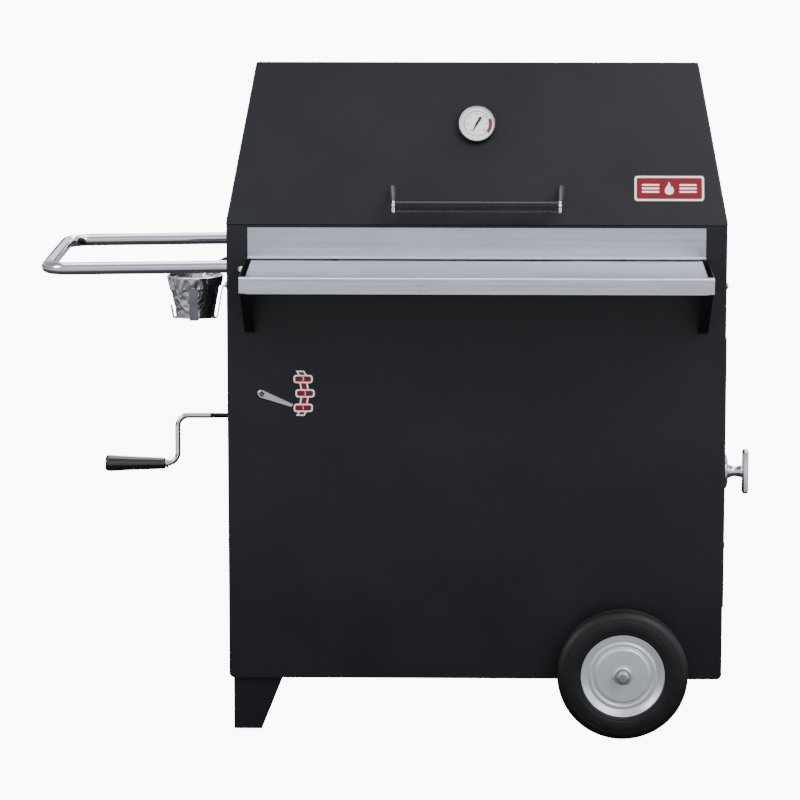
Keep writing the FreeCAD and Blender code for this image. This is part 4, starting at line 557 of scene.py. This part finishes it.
def painted(name, colour, rough, mottle=0.93):
    """Thin glossy paint or printing ink in one colour, with a faint mottle."""
    made, tree, shader = material(name, {"Specular IOR Level": 0.3})
    cloud = pattern(tree, 2.5, 3.0)
    full = linear(colour)
    darker = tuple(c * mottle for c in full[:3]) + (1.0,)
    mix = add(tree, "Mix", {"Factor": cloud, "A": darker, "B": full}, data_type="RGBA")
    tree.links.new(mix.outputs["Result"], shader.inputs["Base Color"])
    shade(shader, "Roughness", cloud, [(0.3, rough), (0.7, rough + 0.12)])
    emboss(shader, (cloud, 0.01, 0.4))
    return made


def flat_shapes(name, outlines, low_mm, high_mm, base, across, up, body, slot, finish, replaced=()):
    """Several flat outlines in millimetres, all of one thickness, as one piece; out is across x up."""
    across, up = np.asarray(across, float), np.asarray(up, float)
    out = np.cross(across, up)
    base = np.asarray(base)
    points, faces = [], []
    for outline in outlines:
        flat = np.asarray(outline, float) * MM
        count, first = len(flat), len(points)
        for height in (low_mm, high_mm):
            points += (base + flat[:, :1] * across + flat[:, 1:] * up + out * height * MM).tolist()
        ring = np.arange(count)
        ahead = (ring + 1) % count
        faces.append((first + ring[::-1]).tolist())
        faces.append((first + count + ring).tolist())
        faces += (first + np.stack([ring, ahead, count + ahead, count + ring], axis=1)).tolist()
    mesh = bpy.data.meshes.new(name)
    mesh.from_pydata(points, [], faces)
    finish_piece(name, mesh, body, finish, replaced)


def numerals(name, words, base, across, up, body, slot, finish):
    """Raised figures as one piece: each word is (text, size, x, y, height above the base) in millimetres."""
    across, up = Vector(across), Vector(up)
    out = across.cross(up)
    thick = 0.05        # how far a figure stands out on each side of its own plane
    work = bmesh.new()
    for text, size, x, y, height in words:
        letters = bpy.data.curves.new(name, "FONT")
        letters.body = text
        letters.size, letters.extrude = size * MM, thick * MM
        letters.resolution_u = 4
        letters.align_x, letters.align_y = "CENTER", "CENTER"
        holder = bpy.data.objects.new(name + "_curve", letters)
        flat = bpy.data.meshes.new_from_object(holder)
        move = Matrix((across, up, out)).transposed().to_4x4()
        move.translation = Vector(base) + across * x * MM + up * y * MM + out * (height + thick) * MM
        flat.transform(move)
        work.from_mesh(flat)
        bpy.data.objects.remove(holder)
        bpy.data.curves.remove(letters)
        bpy.data.meshes.remove(flat)
    bmesh.ops.remove_doubles(work, verts=work.verts, dist=1e-6)
    bmesh.ops.recalc_face_normals(work, faces=work.faces)
    mesh = bpy.data.meshes.new(name)
    work.to_mesh(mesh)
    work.free()
    finish_piece(name, mesh, body, finish)


def sector(inner, outer, start, end, steps=24):
    """Part of a flat ring between two angles in degrees, counter-clockwise."""
    angle = np.radians(np.linspace(start, end, steps + 1))
    far = np.stack([np.cos(angle), np.sin(angle)], axis=1) * outer
    near = np.stack([np.cos(angle), np.sin(angle)], axis=1)[::-1] * inner
    return np.vstack([far, near])


def plate(name, outline, layers, base, across, up, body, slot, finish, replaced=()):
    """A thin piece from a flat outline in millimetres, seen along -out, where out is across x up.

    Each layer is (height, inset): its ring is the outline moved inwards by the inset."""
    outline = np.asarray(outline, float)
    back, ahead = np.roll(outline, 1, axis=0), np.roll(outline, -1, axis=0)
    first, second = outline - back, ahead - outline
    first /= np.linalg.norm(first, axis=1)[:, None]
    second /= np.linalg.norm(second, axis=1)[:, None]
    normal = np.stack([-first[:, 1] - second[:, 1], first[:, 0] + second[:, 0]], axis=1)
    normal /= np.maximum((normal * normal).sum(axis=1) / 2, 0.35)[:, None]
    across, up = np.asarray(across, float), np.asarray(up, float)
    out = np.cross(across, up)
    rows = []
    for height, inset in layers:
        flat = (outline + normal * inset) * MM
        rows.append(np.asarray(base) + flat[:, :1] * across + flat[:, 1:] * up + out * height * MM)
    shell(name, np.array(rows), False, body, finish, replaced, angle=25)


GAUGE = joint_place("gauge_turn")
X_AXIS = np.array([1.0, 0, 0])
GAUGE_R, DIAL_TOP = 33.5, 8.0
INK_T, DIAL_INK_DEEP = 0.05, 0.1        # printing stands out this far, and its mesh reaches into the dial
WHITE = painted("white_dial_enamel", "#fbfbfa", 0.22, mottle=0.97)
GREY_INK = painted("grey_dial_ink", "#4c5253", 0.5)
RED_INK = painted("red_dial_ink", "#8c0a20", 0.6)
BLACK_INK = painted("black_needle_paint", "#0a0a0b", 0.35)
case_line = soften([(3.7, 0.2), (30.5, 0.2), (GAUGE_R, 4.6), (GAUGE_R, 12.6), (33.0, 13.9), (31.2, 13.9),
                    (30.5, 13.0), (30.7, 12.3), (32.2, 12.2), (32.2, 5.4), (29.9, 1.4), (3.7, 1.4)], 0.9)
lathe("gauge_case_pressing", case_line, GAUGE, HOOD_OUT, 128, True, "hood", ENAMEL,
      ["gauge_case"])
dial = [(0.2, 7), (31.9, 7), (32.05, 7.2), (32.05, DIAL_TOP), (0.2, DIAL_TOP)]
lathe("gauge_dial_plate", dial, GAUGE, HOOD_OUT, 96, False, "hood", WHITE, ["gauge_dial"])
ink_low, ink_high = DIAL_TOP - DIAL_INK_DEEP, DIAL_TOP + INK_T
ring_line = [(21.3, ink_low), (22.2, ink_low), (22.2, ink_high), (21.3, ink_high)]
lathe("gauge_scale_ring", ring_line, GAUGE, HOOD_OUT, 128, True, "hood", GREY_INK)
SCALE_START, SCALE_END, SCALE_MARKS = 225.0, -45.0, 24
LONG_MARK, SHORT_MARK = (24.8, 0.7), (23.4, 0.4)        # outer end, and half the width in degrees
marks = []
for i in range(SCALE_MARKS + 1):
    angle = SCALE_START + (SCALE_END - SCALE_START) * i / SCALE_MARKS
    far, half = LONG_MARK if i % 4 == 0 else SHORT_MARK
    marks.append(sector(22.0, far, angle - half, angle + half, 2))
flat_shapes("gauge_scale_marks", marks, ink_low, ink_high, GAUGE, X_AXIS, HOOD_UP, "hood", "dial", GREY_INK)
flat_shapes("gauge_red_zone", [sector(20.4, 26.2, -39, 21)], ink_low, DIAL_TOP + 0.12, GAUGE, X_AXIS, HOOD_UP,
            "hood", "dial", RED_INK)
FIGURES, FIGURE_R, FIGURE_SIZE = 7, 16.6, 4.3
figures = []
for i in range(FIGURES):
    angle = math.radians(SCALE_START + (SCALE_END - SCALE_START) * i / (FIGURES - 1))
    figures.append((str(100 * (i + 1)), FIGURE_SIZE, FIGURE_R * math.cos(angle), FIGURE_R * math.sin(angle),
                    DIAL_TOP))
numerals("gauge_figures", figures, GAUGE, X_AXIS, HOOD_UP, "hood", "dial", GREY_INK)

NEEDLE_TURN = math.radians(60)
needle_along = X_AXIS * math.cos(NEEDLE_TURN) + HOOD_UP * math.sin(NEEDLE_TURN)
needle_across = -X_AXIS * math.sin(NEEDLE_TURN) + HOOD_UP * math.cos(NEEDLE_TURN)
blunt = [(11.0 + 2.7 * math.cos(a), 2.7 * math.sin(a)) for a in np.linspace(-1.5, 1.5, 11)]
needle_outline = [(-16.0, -0.5), (0.0, -1.7)] + blunt + [(0.0, 1.7), (-16.0, 0.5)]
plate("gauge_needle_blade", needle_outline, [(8.65, 0), (9.05, 0), (9.2, 0.15)], GAUGE, needle_along,
      needle_across, "needle", "needle", BLACK_INK, ["gauge_needle"])
hub = [(0.2, 5.9), (1.15, 5.9), (1.15, 8.6), (2.3, 8.6), (2.3, 9.5), (1.7, 10.0), (0.2, 10.1)]
lathe("gauge_needle_hub", hub, GAUGE, HOOD_OUT, 32, False, "needle", BLACK_INK, ["gauge_needle"])


def clear_pane():
    """Flat clear glass, thin enough that light passes straight through, with a trace of dust."""
    made, tree, shader = material("flat_clear_glass", {"Base Color": linear("#c2c6c6")})
    dust = pattern(tree, 9, 3.0)
    shade(shader, "Roughness", dust, [(0.4, 0.02), (0.8, 0.08)])
    shade(shader, "Alpha", dust, [(0.4, 0.02), (0.8, 0.05)])
    return made


pane = [(0.2, 10.7), (31.6, 10.7), (31.9, 10.9), (31.9, 11.9), (31.6, 12.1), (0.2, 12.1)]
lathe("gauge_glass_pane", pane, GAUGE, HOOD_OUT, 96, False, "hood", clear_pane(), ["gauge_glass"])


# ---- Plaque on the hood
# A stamped aluminium plate, enamelled white and then dark red within a white border.
# A plain white flame stands between two sets of three bars.

def round_rect(width, height, radius, steps=6, middle=(0, 0)):
    """A rectangle with round corners, counter-clockwise, in millimetres."""
    points = []
    for k, (sx, sy) in enumerate([(1, 1), (-1, 1), (-1, -1), (1, -1)]):
        for a in np.linspace(0, np.pi / 2, steps + 1) + k * np.pi / 2:
            points.append((middle[0] + sx * (width / 2 - radius) + radius * math.cos(a),
                           middle[1] + sy * (height / 2 - radius) + radius * math.sin(a)))
    return points


RED_ENAMEL = painted("dark_red_plaque_enamel", "#7e0210", 0.4)
WHITE_ENAMEL = painted("white_plaque_enamel", "#f8f8f6", 0.3, mottle=0.97)
badge_low, badge_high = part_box("badge")
BADGE_W = (badge_high.x - badge_low.x) / MM
BADGE_H = ((badge_high.z - badge_low.z) / MM - 0.6) / HOOD_UP[2]
badge_mid = hood_point((badge_low.x + badge_high.x) / 2 / MM - CABINET_MID_X / MM,
                       (badge_low.z + badge_high.z) / 2 / MM)
BORDER = 3.5
badge_frame = (badge_mid, X_AXIS, HOOD_UP, "hood", "plaque")
plate("plaque_plate", round_rect(BADGE_W - 1, BADGE_H - 1, 5.0), [(0.1, 0), (0.55, 0), (0.8, 0.3)],
      *badge_frame, WHITE_ENAMEL, ["badge"])
plate("plaque_field", round_rect(BADGE_W - 1 - 2 * BORDER, BADGE_H - 1 - 2 * BORDER, 3.0),
      [(0.6, 0), (0.9, 0), (0.98, 0.1)], *badge_frame, RED_ENAMEL)
flame = soften([(0, -11), (6.0, -9.5), (8.2, -4.0), (6.2, 1.8), (3.6, 5.0), (3.4, 0.8), (1.6, 3.6),
                (1.8, 8.0), (-1.4, 12.2), (-1.8, 6.8), (-5.6, 2.4), (-8.2, -3.6), (-6.0, -9.5), (0, -11)],
               3.0)[:-1]
BAR_LONG, BAR_TALL, BAR_AWAY, BAR_STEP = 30, 3.2, 32, 6
bars = [round_rect(BAR_LONG, BAR_TALL, 1.5, 4, (side * BAR_AWAY, row * BAR_STEP))
        for side in (-1, 1) for row in (-1, 0, 1)]
flat_shapes("plaque_flame", [flame] + bars, 0.9, 1.1, *badge_frame, WHITE_ENAMEL)


# ---- Pointer and position plate
# A ground steel pointer, held on the lift shaft's end by a dark socket screw, and a printed plate on the
# cabinet's front with three numbered stops on a red ribbon.

PIVOT = joint_place("lift_turn")
LIFT_ANGLE = math.radians(21)
POINTER_L, POINTER_WIDE, POINTER_THIN, POINTER_T, POINTER_GAP = 57.0, 7.5, 3.5, 2.5, 0.8
SATIN = brushed_stainless("ground_satin_steel", "x", "#b4b5b8")
taper = math.asin((POINTER_WIDE - POINTER_THIN) / (POINTER_L - POINTER_THIN))
half_turn = math.pi / 2 - taper
tip_angles = np.linspace(-half_turn, half_turn, 17)
root_angles = np.linspace(half_turn, 2 * math.pi - half_turn, 33)
pointer_outline = [(POINTER_L - POINTER_THIN + POINTER_THIN * math.cos(a), POINTER_THIN * math.sin(a))
                   for a in tip_angles]
pointer_outline += [(POINTER_WIDE * math.cos(a), POINTER_WIDE * math.sin(a)) for a in root_angles]
pointer_base = np.array([PIVOT[0], CABINET_LOW.y - POINTER_GAP * MM, PIVOT[2]])
pointer_along = np.array([math.cos(LIFT_ANGLE), 0, -math.sin(LIFT_ANGLE)])
pointer_up = np.array([math.sin(LIFT_ANGLE), 0, math.cos(LIFT_ANGLE)])
plate("pointer_blade", pointer_outline, [(0, 0), (POINTER_T - 0.9, 0), (POINTER_T, 1.1)], pointer_base,
      pointer_along, pointer_up, "lift", "stainless", SATIN, ["pointer"])
SCREW_BLACK = rolled_steel("dark_socket_screw", "#4b4c50", "#6a6b70", (0.25, 0.35))
head = soften([(0.2, 2.3), (4.6, 2.3), (4.6, 2.9), (4.1, 3.5), (3.4, 3.4), (3.0, 2.6), (0.2, 2.5)], 0.3, 3)
lathe("pointer_screw", head, pointer_base, (0, -1.0, 0), 40, False, "lift", SCREW_BLACK,
      ["pointer"])

plate_low, plate_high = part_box("position_plate")
STOPS = [(-1.6, 25.0), (1.6, 0.0), (-1.6, -25.5)]
stop_frame = (np.array([(plate_low.x + plate_high.x) / 2, CABINET_LOW.y, (plate_low.z + plate_high.z) / 2]),
              X_AXIS, np.array([0, 0, 1.0]), "cabinet", "plaque")


def ribbon(half_width, end):
    """A ribbon down the plate with a gentle wave and slanted ends."""
    height = np.linspace(end, -end, 41)
    drift = 1.5 * np.cos(height / 8.1) - 9.0 * np.clip((np.abs(height) - 30.0) / 12.0, 0, 1)
    left_side = np.stack([drift - half_width, height], axis=1)
    right_side = np.stack([drift + half_width, height], axis=1)[::-1]
    return np.vstack([left_side, right_side])


flat_shapes("stop_ribbon_edge", [ribbon(7.2, 39.5)], 0.02, 0.2, *stop_frame, WHITE_ENAMEL, ["position_plate"])
flat_shapes("stop_ribbon_stripe", [ribbon(4.4, 37.2)], 0.1, 0.26, *stop_frame, RED_ENAMEL)
flat_shapes("stop_plaques", [round_rect(33.4, 14.4, 5.0, 6, stop) for stop in STOPS], 0.1, 0.36, *stop_frame,
            WHITE_ENAMEL)
flat_shapes("stop_fields", [round_rect(27.8, 9.4, 3.0, 6, stop) for stop in STOPS], 0.2, 0.44, *stop_frame,
            RED_ENAMEL)
numerals("stop_figures", [(str(3 - i), 8.6, x, z, 0.42) for i, (x, z) in enumerate(STOPS)], *stop_frame,
         WHITE_ENAMEL)


# ---- Crank
# A steel rod bent to a crank and chromed; its inner stretch is cut with a screw thread and left oiled.
# Two collars hold it endways in its yoke, and a third stands at the grip's inner end.

yoke_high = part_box("screw_yoke")[1]
rod_low, rod_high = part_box("crank_rod")
grip_low, grip_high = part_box("crank_grip")
SCREW = joint_place("crank_turn")
GRIP_LINE = joint_place("grip_spin")
ROD_R, CRANK_BEND, CRANK_OUT, THREAD_OUT = 4.75, 20.0, 94.0, 36.0
THREAD_PITCH, THREAD_DEEP = 3.2, 0.85
thread_end = CABINET_LOW.x - THREAD_OUT * MM
crank_x = CABINET_LOW.x - CRANK_OUT * MM
threaded = np.arange(rod_high.x, thread_end, -0.4 * MM)
screw_line = np.stack([threaded, np.full_like(threaded, SCREW[1]), np.full_like(threaded, SCREW[2])], axis=1)
bent = arc_route([(thread_end, SCREW[1], SCREW[2]), (crank_x, SCREW[1], SCREW[2]),
                  (crank_x, SCREW[1], GRIP_LINE[2]), (rod_low.x, SCREW[1], GRIP_LINE[2])],
                 CRANK_BEND * MM, 5 * MM)
SIDES = 36
depth = np.abs(((threaded[:, None] / (THREAD_PITCH * MM) + np.arange(SIDES) / SIDES) % 1.0) - 0.5) * 2
fade = np.clip((threaded - thread_end) / (6 * MM), 0, 1)[:, None]
thread_r = (ROD_R - THREAD_DEEP * np.clip(depth * 1.4 - 0.2, 0, 1) * fade) * MM
SCREW_STEEL = rolled_steel("oiled_screw_steel", "#2b2b2e", "#46464a", (0.22, 0.36))
shell("crank_screw", sweep(screw_line, thread_r, SIDES), False, "crank", SCREW_STEEL,
      ["crank_rod"])
shell("crank_bar", sweep(bent, ROD_R * MM, SIDES), False, "crank", CHROME, ["crank_rod"])


def collar(name, x, line, width, inner_r, outer_r, finish):
    """A turned ring on the rod, with broken edges, from x along a line that runs with the x axis."""
    section = soften([(inner_r, 0), (outer_r - 0.6, 0), (outer_r, 0.6), (outer_r, width - 0.6),
                      (outer_r - 0.6, width), (inner_r, width)], 0.3, 2)
    lathe(name, section, (x, line[1], line[2]), X_AXIS, 48, True, "crank", finish, ["crank_rod"])


YOKE_T, YOKE_OUT, COLLAR_W, CLEAR, STOP_W = 3.0, 4.0, 5.0, 0.3, 4.0
collar("screw_collar_outer", CABINET_LOW.x + (YOKE_OUT + YOKE_T + CLEAR) * MM, SCREW, COLLAR_W, ROD_R - 1,
       ROD_R + 4, SCREW_STEEL)
collar("screw_collar_inner", yoke_high.x - (YOKE_T + COLLAR_W + CLEAR) * MM, SCREW, COLLAR_W, ROD_R - 1,
       ROD_R + 4, SCREW_STEEL)
collar("grip_stop", grip_high.x + 1 * MM, GRIP_LINE, STOP_W, ROD_R - 0.5, ROD_R + 3, CHROME)


# ---- Crank grip
# A turned hardwood grip, flared to its outer end and dipped in gloss black lacquer.
# It is bored from its inner end and turns freely on the end of the rod.

def lacquered_wood():
    """Gloss black lacquer over turned wood: a faint long grain shows in the shine."""
    made, tree, shader = material("black_lacquered_hardwood", {"Coat Weight": 0.6, "Coat Roughness": 0.08})
    grain = pattern(tree, 1.5, 4.0, 0.6, (0.06, 1.0, 1.0))
    shade(shader, "Base Color", grain, [(0.3, "#0c0b0b"), (0.7, "#161413")])
    shade(shader, "Roughness", grain, [(0.35, 0.14), (0.7, 0.26)])
    emboss(shader, (grain, 0.05, 0.4))
    return made


GRIP_L = (grip_high.x - grip_low.x) / MM
GRIP_R1, GRIP_R0, BORE = (grip_high.z - grip_low.z) / 2 / MM, 9.75, ROD_R + 0.08
grip_outline = soften([(0.3, GRIP_L - 3.6), (BORE, GRIP_L - 3.6), (BORE, 0), (GRIP_R0 - 1.4, 0),
                       (GRIP_R0, 1.6), (GRIP_R0 + 0.5, 10), (GRIP_R0 + 2.4, GRIP_L * 0.55),
                       (GRIP_R1, GRIP_L - 7), (GRIP_R1 - 0.9, GRIP_L - 1.8), (GRIP_R1 - 4.5, GRIP_L),
                       (0.3, GRIP_L)], 4.0, 6)
grip_outline[:, 0] = np.minimum(grip_outline[:, 0], GRIP_R1)
lathe("crank_grip_turning", grip_outline, (grip_high.x, GRIP_LINE[1], GRIP_LINE[2]), -X_AXIS, 72, False,
      "grip", lacquered_wood(), ["crank_grip"])


# ---- Fire door latch
# A die-cast T-handle on a round rose, both chromium plated. Its spindle passes through the door to a
# zinc-plated cam that turns behind the jamb.

def rounded_block(low, high, radius, steps):
    """A block with every edge round: a sphere cut into eight and pushed out to the block's corners."""
    low, high = np.asarray(low, float), np.asarray(high, float)
    quarter = np.linspace(0, np.pi / 2, steps + 1)
    polar = np.concatenate([quarter, quarter + np.pi / 2])
    polar[0], polar[-1] = 1e-3, np.pi - 1e-3
    up_sign = np.repeat([1, -1], steps + 1)
    round_angle = np.concatenate([quarter + k * np.pi / 2 for k in range(4)])
    x_sign, y_sign = np.repeat([1, -1, -1, 1], steps + 1), np.repeat([1, 1, -1, -1], steps + 1)
    core = (high - low) / 2 - radius
    grid = np.empty((len(polar), len(round_angle), 3))
    grid[..., 0] = np.sin(polar)[:, None] * np.cos(round_angle) * radius + x_sign * core[0]
    grid[..., 1] = np.sin(polar)[:, None] * np.sin(round_angle) * radius + y_sign * core[1]
    grid[..., 2] = np.cos(polar)[:, None] * radius + up_sign[:, None] * core[2]
    return grid + (low + high) / 2


LATCH = joint_place("latch_turn")
latch_low, latch_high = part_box("latch_handle")
wall_x = CABINET_HIGH.x
LATCH_MIDDLE = np.array([wall_x, LATCH[1], LATCH[2]])
LATCH_REACH = (latch_high.x - wall_x) / MM
TBAR_T, TBAR_W, TBAR_ROUND = 11.0, 20.0, 4.6
STEM_R, ROSE_R, ROSE_OUT, SPINDLE_R = 12.5, 30.5, 9.0, 5.0
TBAR_H = (latch_high.z - latch_low.z) / MM
bar_in = LATCH_REACH - TBAR_T
tbar_from = LATCH_MIDDLE + np.array([bar_in, -TBAR_W / 2, -TBAR_H / 2]) * MM
tbar_to = LATCH_MIDDLE + np.array([LATCH_REACH, TBAR_W / 2, TBAR_H / 2]) * MM
shell("latch_tbar", rounded_block(tbar_from, tbar_to, TBAR_ROUND * MM, 7), False, "latch", CHROME,
      ["latch_handle"])
stem = soften([(0.3, 9.4), (STEM_R - 0.4, 9.4), (STEM_R, 10.4), (STEM_R - 3.2, 17.0), (STEM_R - 3.6, 24.0),
               (STEM_R - 1.2, bar_in + 0.5), (0.3, bar_in + 0.5)], 3.0, 6)
lathe("latch_stem", stem, LATCH_MIDDLE, X_AXIS, 64, False, "latch", CHROME, ["latch_handle"])
spindle_back = (latch_low.x - wall_x) / MM
spindle = [(0.3, spindle_back), (SPINDLE_R - 0.8, spindle_back), (SPINDLE_R, spindle_back + 0.8),
           (SPINDLE_R, ROSE_OUT + 1), (0.3, ROSE_OUT + 1)]
lathe("latch_spindle", spindle, LATCH_MIDDLE, X_AXIS, 36, False, "latch", CHROME, ["latch_handle"])
rose = soften([(SPINDLE_R + 0.1, 3.3), (ROSE_R, 3.3), (ROSE_R, 4.6), (ROSE_R - 2.4, 7.2),
               (ROSE_R - 8, ROSE_OUT - 0.1), (STEM_R + 2, ROSE_OUT), (SPINDLE_R + 0.1, ROSE_OUT)], 1.6, 5)
lathe("latch_rose_plate", rose, LATCH_MIDDLE, X_AXIS, 96, True, "fire_door", CHROME, ["latch_rose"])


# ---- Wheels
# Semi-pneumatic rubber tyres with a ribbed tread on pressed steel discs, sprayed silver.
# Each wheel turns freely on the axle, held on by a nut and a washer.

def tyre_rubber():
    """Black moulded rubber: matt, with bloom and dust on the sidewalls and a fine mould grain."""
    made, tree, shader = material("black_moulded_rubber", {"Specular IOR Level": 0.34})
    bloom = pattern(tree, 26, 4.0, 0.6)
    shade(shader, "Base Color", bloom, [(0.3, "#0e0e10"), (0.7, "#151517")])
    shade(shader, "Roughness", bloom, [(0.3, 0.42), (0.7, 0.58)])
    emboss(shader, (pattern(tree, 0.9), 0.05, 0.5))
    return made


def silver_paint():
    """Aluminium-flake paint on pressed steel: a soft metallic silver with a fine sparkle."""
    made, tree, shader = material("silver_wheel_paint", {"Metallic": 0.6})
    flake = pattern(tree, 0.5)      # flakes are finer; drawn this coarse to show
    shade(shader, "Base Color", flake, [(0.35, "#d0d2d8"), (0.65, "#e4e6ec")])
    shade(shader, "Roughness", pattern(tree, 30, 3.0), [(0.3, 0.32), (0.7, 0.42)])
    emboss(shader, (flake, 0.02, 0.5))
    return made


RUBBER, SILVER = tyre_rubber(), silver_paint()
TREAD_R, TREAD_HALF, CROWNING = 113.75, 13.0, 0.004
RIB_STEP, GROOVE_HALF, GROOVE_DEEP, GROOVES_HALF = 6.5, 1.25, 1.1, 11.2
tread_z = np.linspace(-TREAD_HALF, TREAD_HALF, 105)
from_groove = np.abs((tread_z + RIB_STEP / 2) % RIB_STEP - RIB_STEP / 2)
groove = np.clip((GROOVE_HALF - from_groove) * 2.0, 0, GROOVE_DEEP)
crown = TREAD_R - CROWNING * tread_z ** 2 - groove * (np.abs(tread_z) < GROOVES_HALF)
half_tyre = [(110.6, 16.2), (106.5, 19.2), (101.0, 20.9), (99.6, 20.6), (98.6, 21.2), (92.0, 21.9),
             (84.0, 21.9), (79.5, 21.2), (78.7, 20.6), (77.8, 21.0), (74.2, 20.2), (73.1, 19.0)]
tyre_section = np.vstack([np.stack([crown, tread_z], axis=1), soften(half_tyre, 2.2, 4),
                          soften([(r, -z) for r, z in half_tyre], 2.2, 4)[::-1]])
half_disc = [(6.43, 25.6), (12.6, 25.6), (13.0, 25.2), (13.0, 15.2), (15.5, 13.9), (19.0, 14.9), (45.5, 15.3),
             (48.4, 14.2), (49.2, 10.7), (50.6, 10.9), (53.2, 13.4), (56.4, 13.8), (58.4, 12.2), (59.6, 10.4),
             (62.5, 11.0), (69.8, 17.6), (71.2, 18.9), (72.4, 18.9), (72.8, 18.1)]
disc_section = np.vstack([soften(half_disc, 1.1, 4), soften([(r, -z) for r, z in half_disc], 1.1, 4)[::-1]])
for side_name, out in (("front", -1.0), ("rear", 1.0)):
    hub_place = joint_place(side_name + "_wheel_spin")
    tyre_low, tyre_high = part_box(side_name + "_tyre")
    middle = np.array([hub_place[0], (tyre_low.y + tyre_high.y) / 2, hub_place[2]])
    body = side_name + "_wheel"
    lathe(body + "_tyre", tyre_section, middle, (0, out, 0), 192, True, body, RUBBER,
          [side_name + "_tyre"])
    lathe(body + "_disc", disc_section, middle, (0, out, 0), 160, True, body, SILVER,
          [side_name + "_rim"])


# ---- Axle, pins, bushes and the works inside
# Zinc-plated bar, pins and nuts, rolled steel plates and arms darkened by heat, a cast-iron fire grate, and
# two sintered bronze bushes, dark with oil, pressed into the cabinet's walls for the lift shaft.

ZINC = rolled_steel("zinc_plated_steel", "#b2b4b7", "#d6d8da", (0.28, 0.4))
BLACK_STEEL = rolled_steel("hot_rolled_steel_with_mill_scale", "#2c2b2b", "#413f3e", (0.4, 0.62), 0.7)
dress(ZINC, "axle", "axle_fittings", "gauge_stem", "screw_nut", "latch_cam", "idler_pins")
dress(BLACK_STEEL, "floor_pan", "grate_rails", "drain_spout", "lift_frame", "idler_arms", "axle_plates",
      "screw_yoke")
BRONZE = rolled_steel("oil_soaked_sintered_bronze", "#2a221b", "#3d3226", (0.4, 0.55), 0.8)
bush_low, bush_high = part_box("lift_bushes")
BUSH_BORE, BUSH_R, BUSH_L, COLLAR_R, COLLAR_FROM = 6.3, 7.2, 7.2, 13.6, 2.2
bush = soften([(BUSH_BORE, 0.15), (BUSH_R, 0.15), (BUSH_R, COLLAR_FROM), (COLLAR_R, COLLAR_FROM),
               (COLLAR_R, BUSH_L - 0.6), (COLLAR_R - 0.6, BUSH_L), (BUSH_BORE, BUSH_L)], 0.3, 2)
for side_name, face, inward in (("front", bush_low.y, 1.0), ("rear", bush_high.y, -1.0)):
    lathe("lift_bush_" + side_name, bush, (PIVOT[0], face, PIVOT[2]), (0, inward, 0), 64, True, "cabinet",
          BRONZE, ["lift_bushes"])


def heat_scaled_steel():
    """Steel that has held burning charcoal: dark scale with brown blooms and patches of paler ash."""
    made, tree, shader = material("heat_scaled_steel", {"Metallic": 0.35})
    grit = pattern(tree, 2.2, 4.0, 0.6)
    shade(shader, "Base Color", pattern(tree, 45, 5.0, 0.65),
          [(0.3, "#2a2627"), (0.5, "#3d332e"), (0.62, "#4b3a30"), (0.75, "#57514d")])
    shade(shader, "Roughness", grit, [(0.3, 0.62), (0.7, 0.86)])
    emboss(shader, (grit, 0.25, 0.6))
    return made


def cast_iron():
    """Sand-cast grey iron: dull, grainy and faintly brown."""
    made, tree, shader = material("sand_cast_iron", {"Metallic": 0.5})
    sand = pattern(tree, 1.3, 3.0, 0.7)
    shade(shader, "Base Color", pattern(tree, 25, 3.0), [(0.3, "#262425"), (0.7, "#37322f")])
    shade(shader, "Roughness", sand, [(0.3, 0.6), (0.7, 0.8)])
    emboss(shader, (sand, 0.3, 0.7))
    return made


dress(heat_scaled_steel(), "firebox", "door_liner")
dress(cast_iron(), "fire_grate")
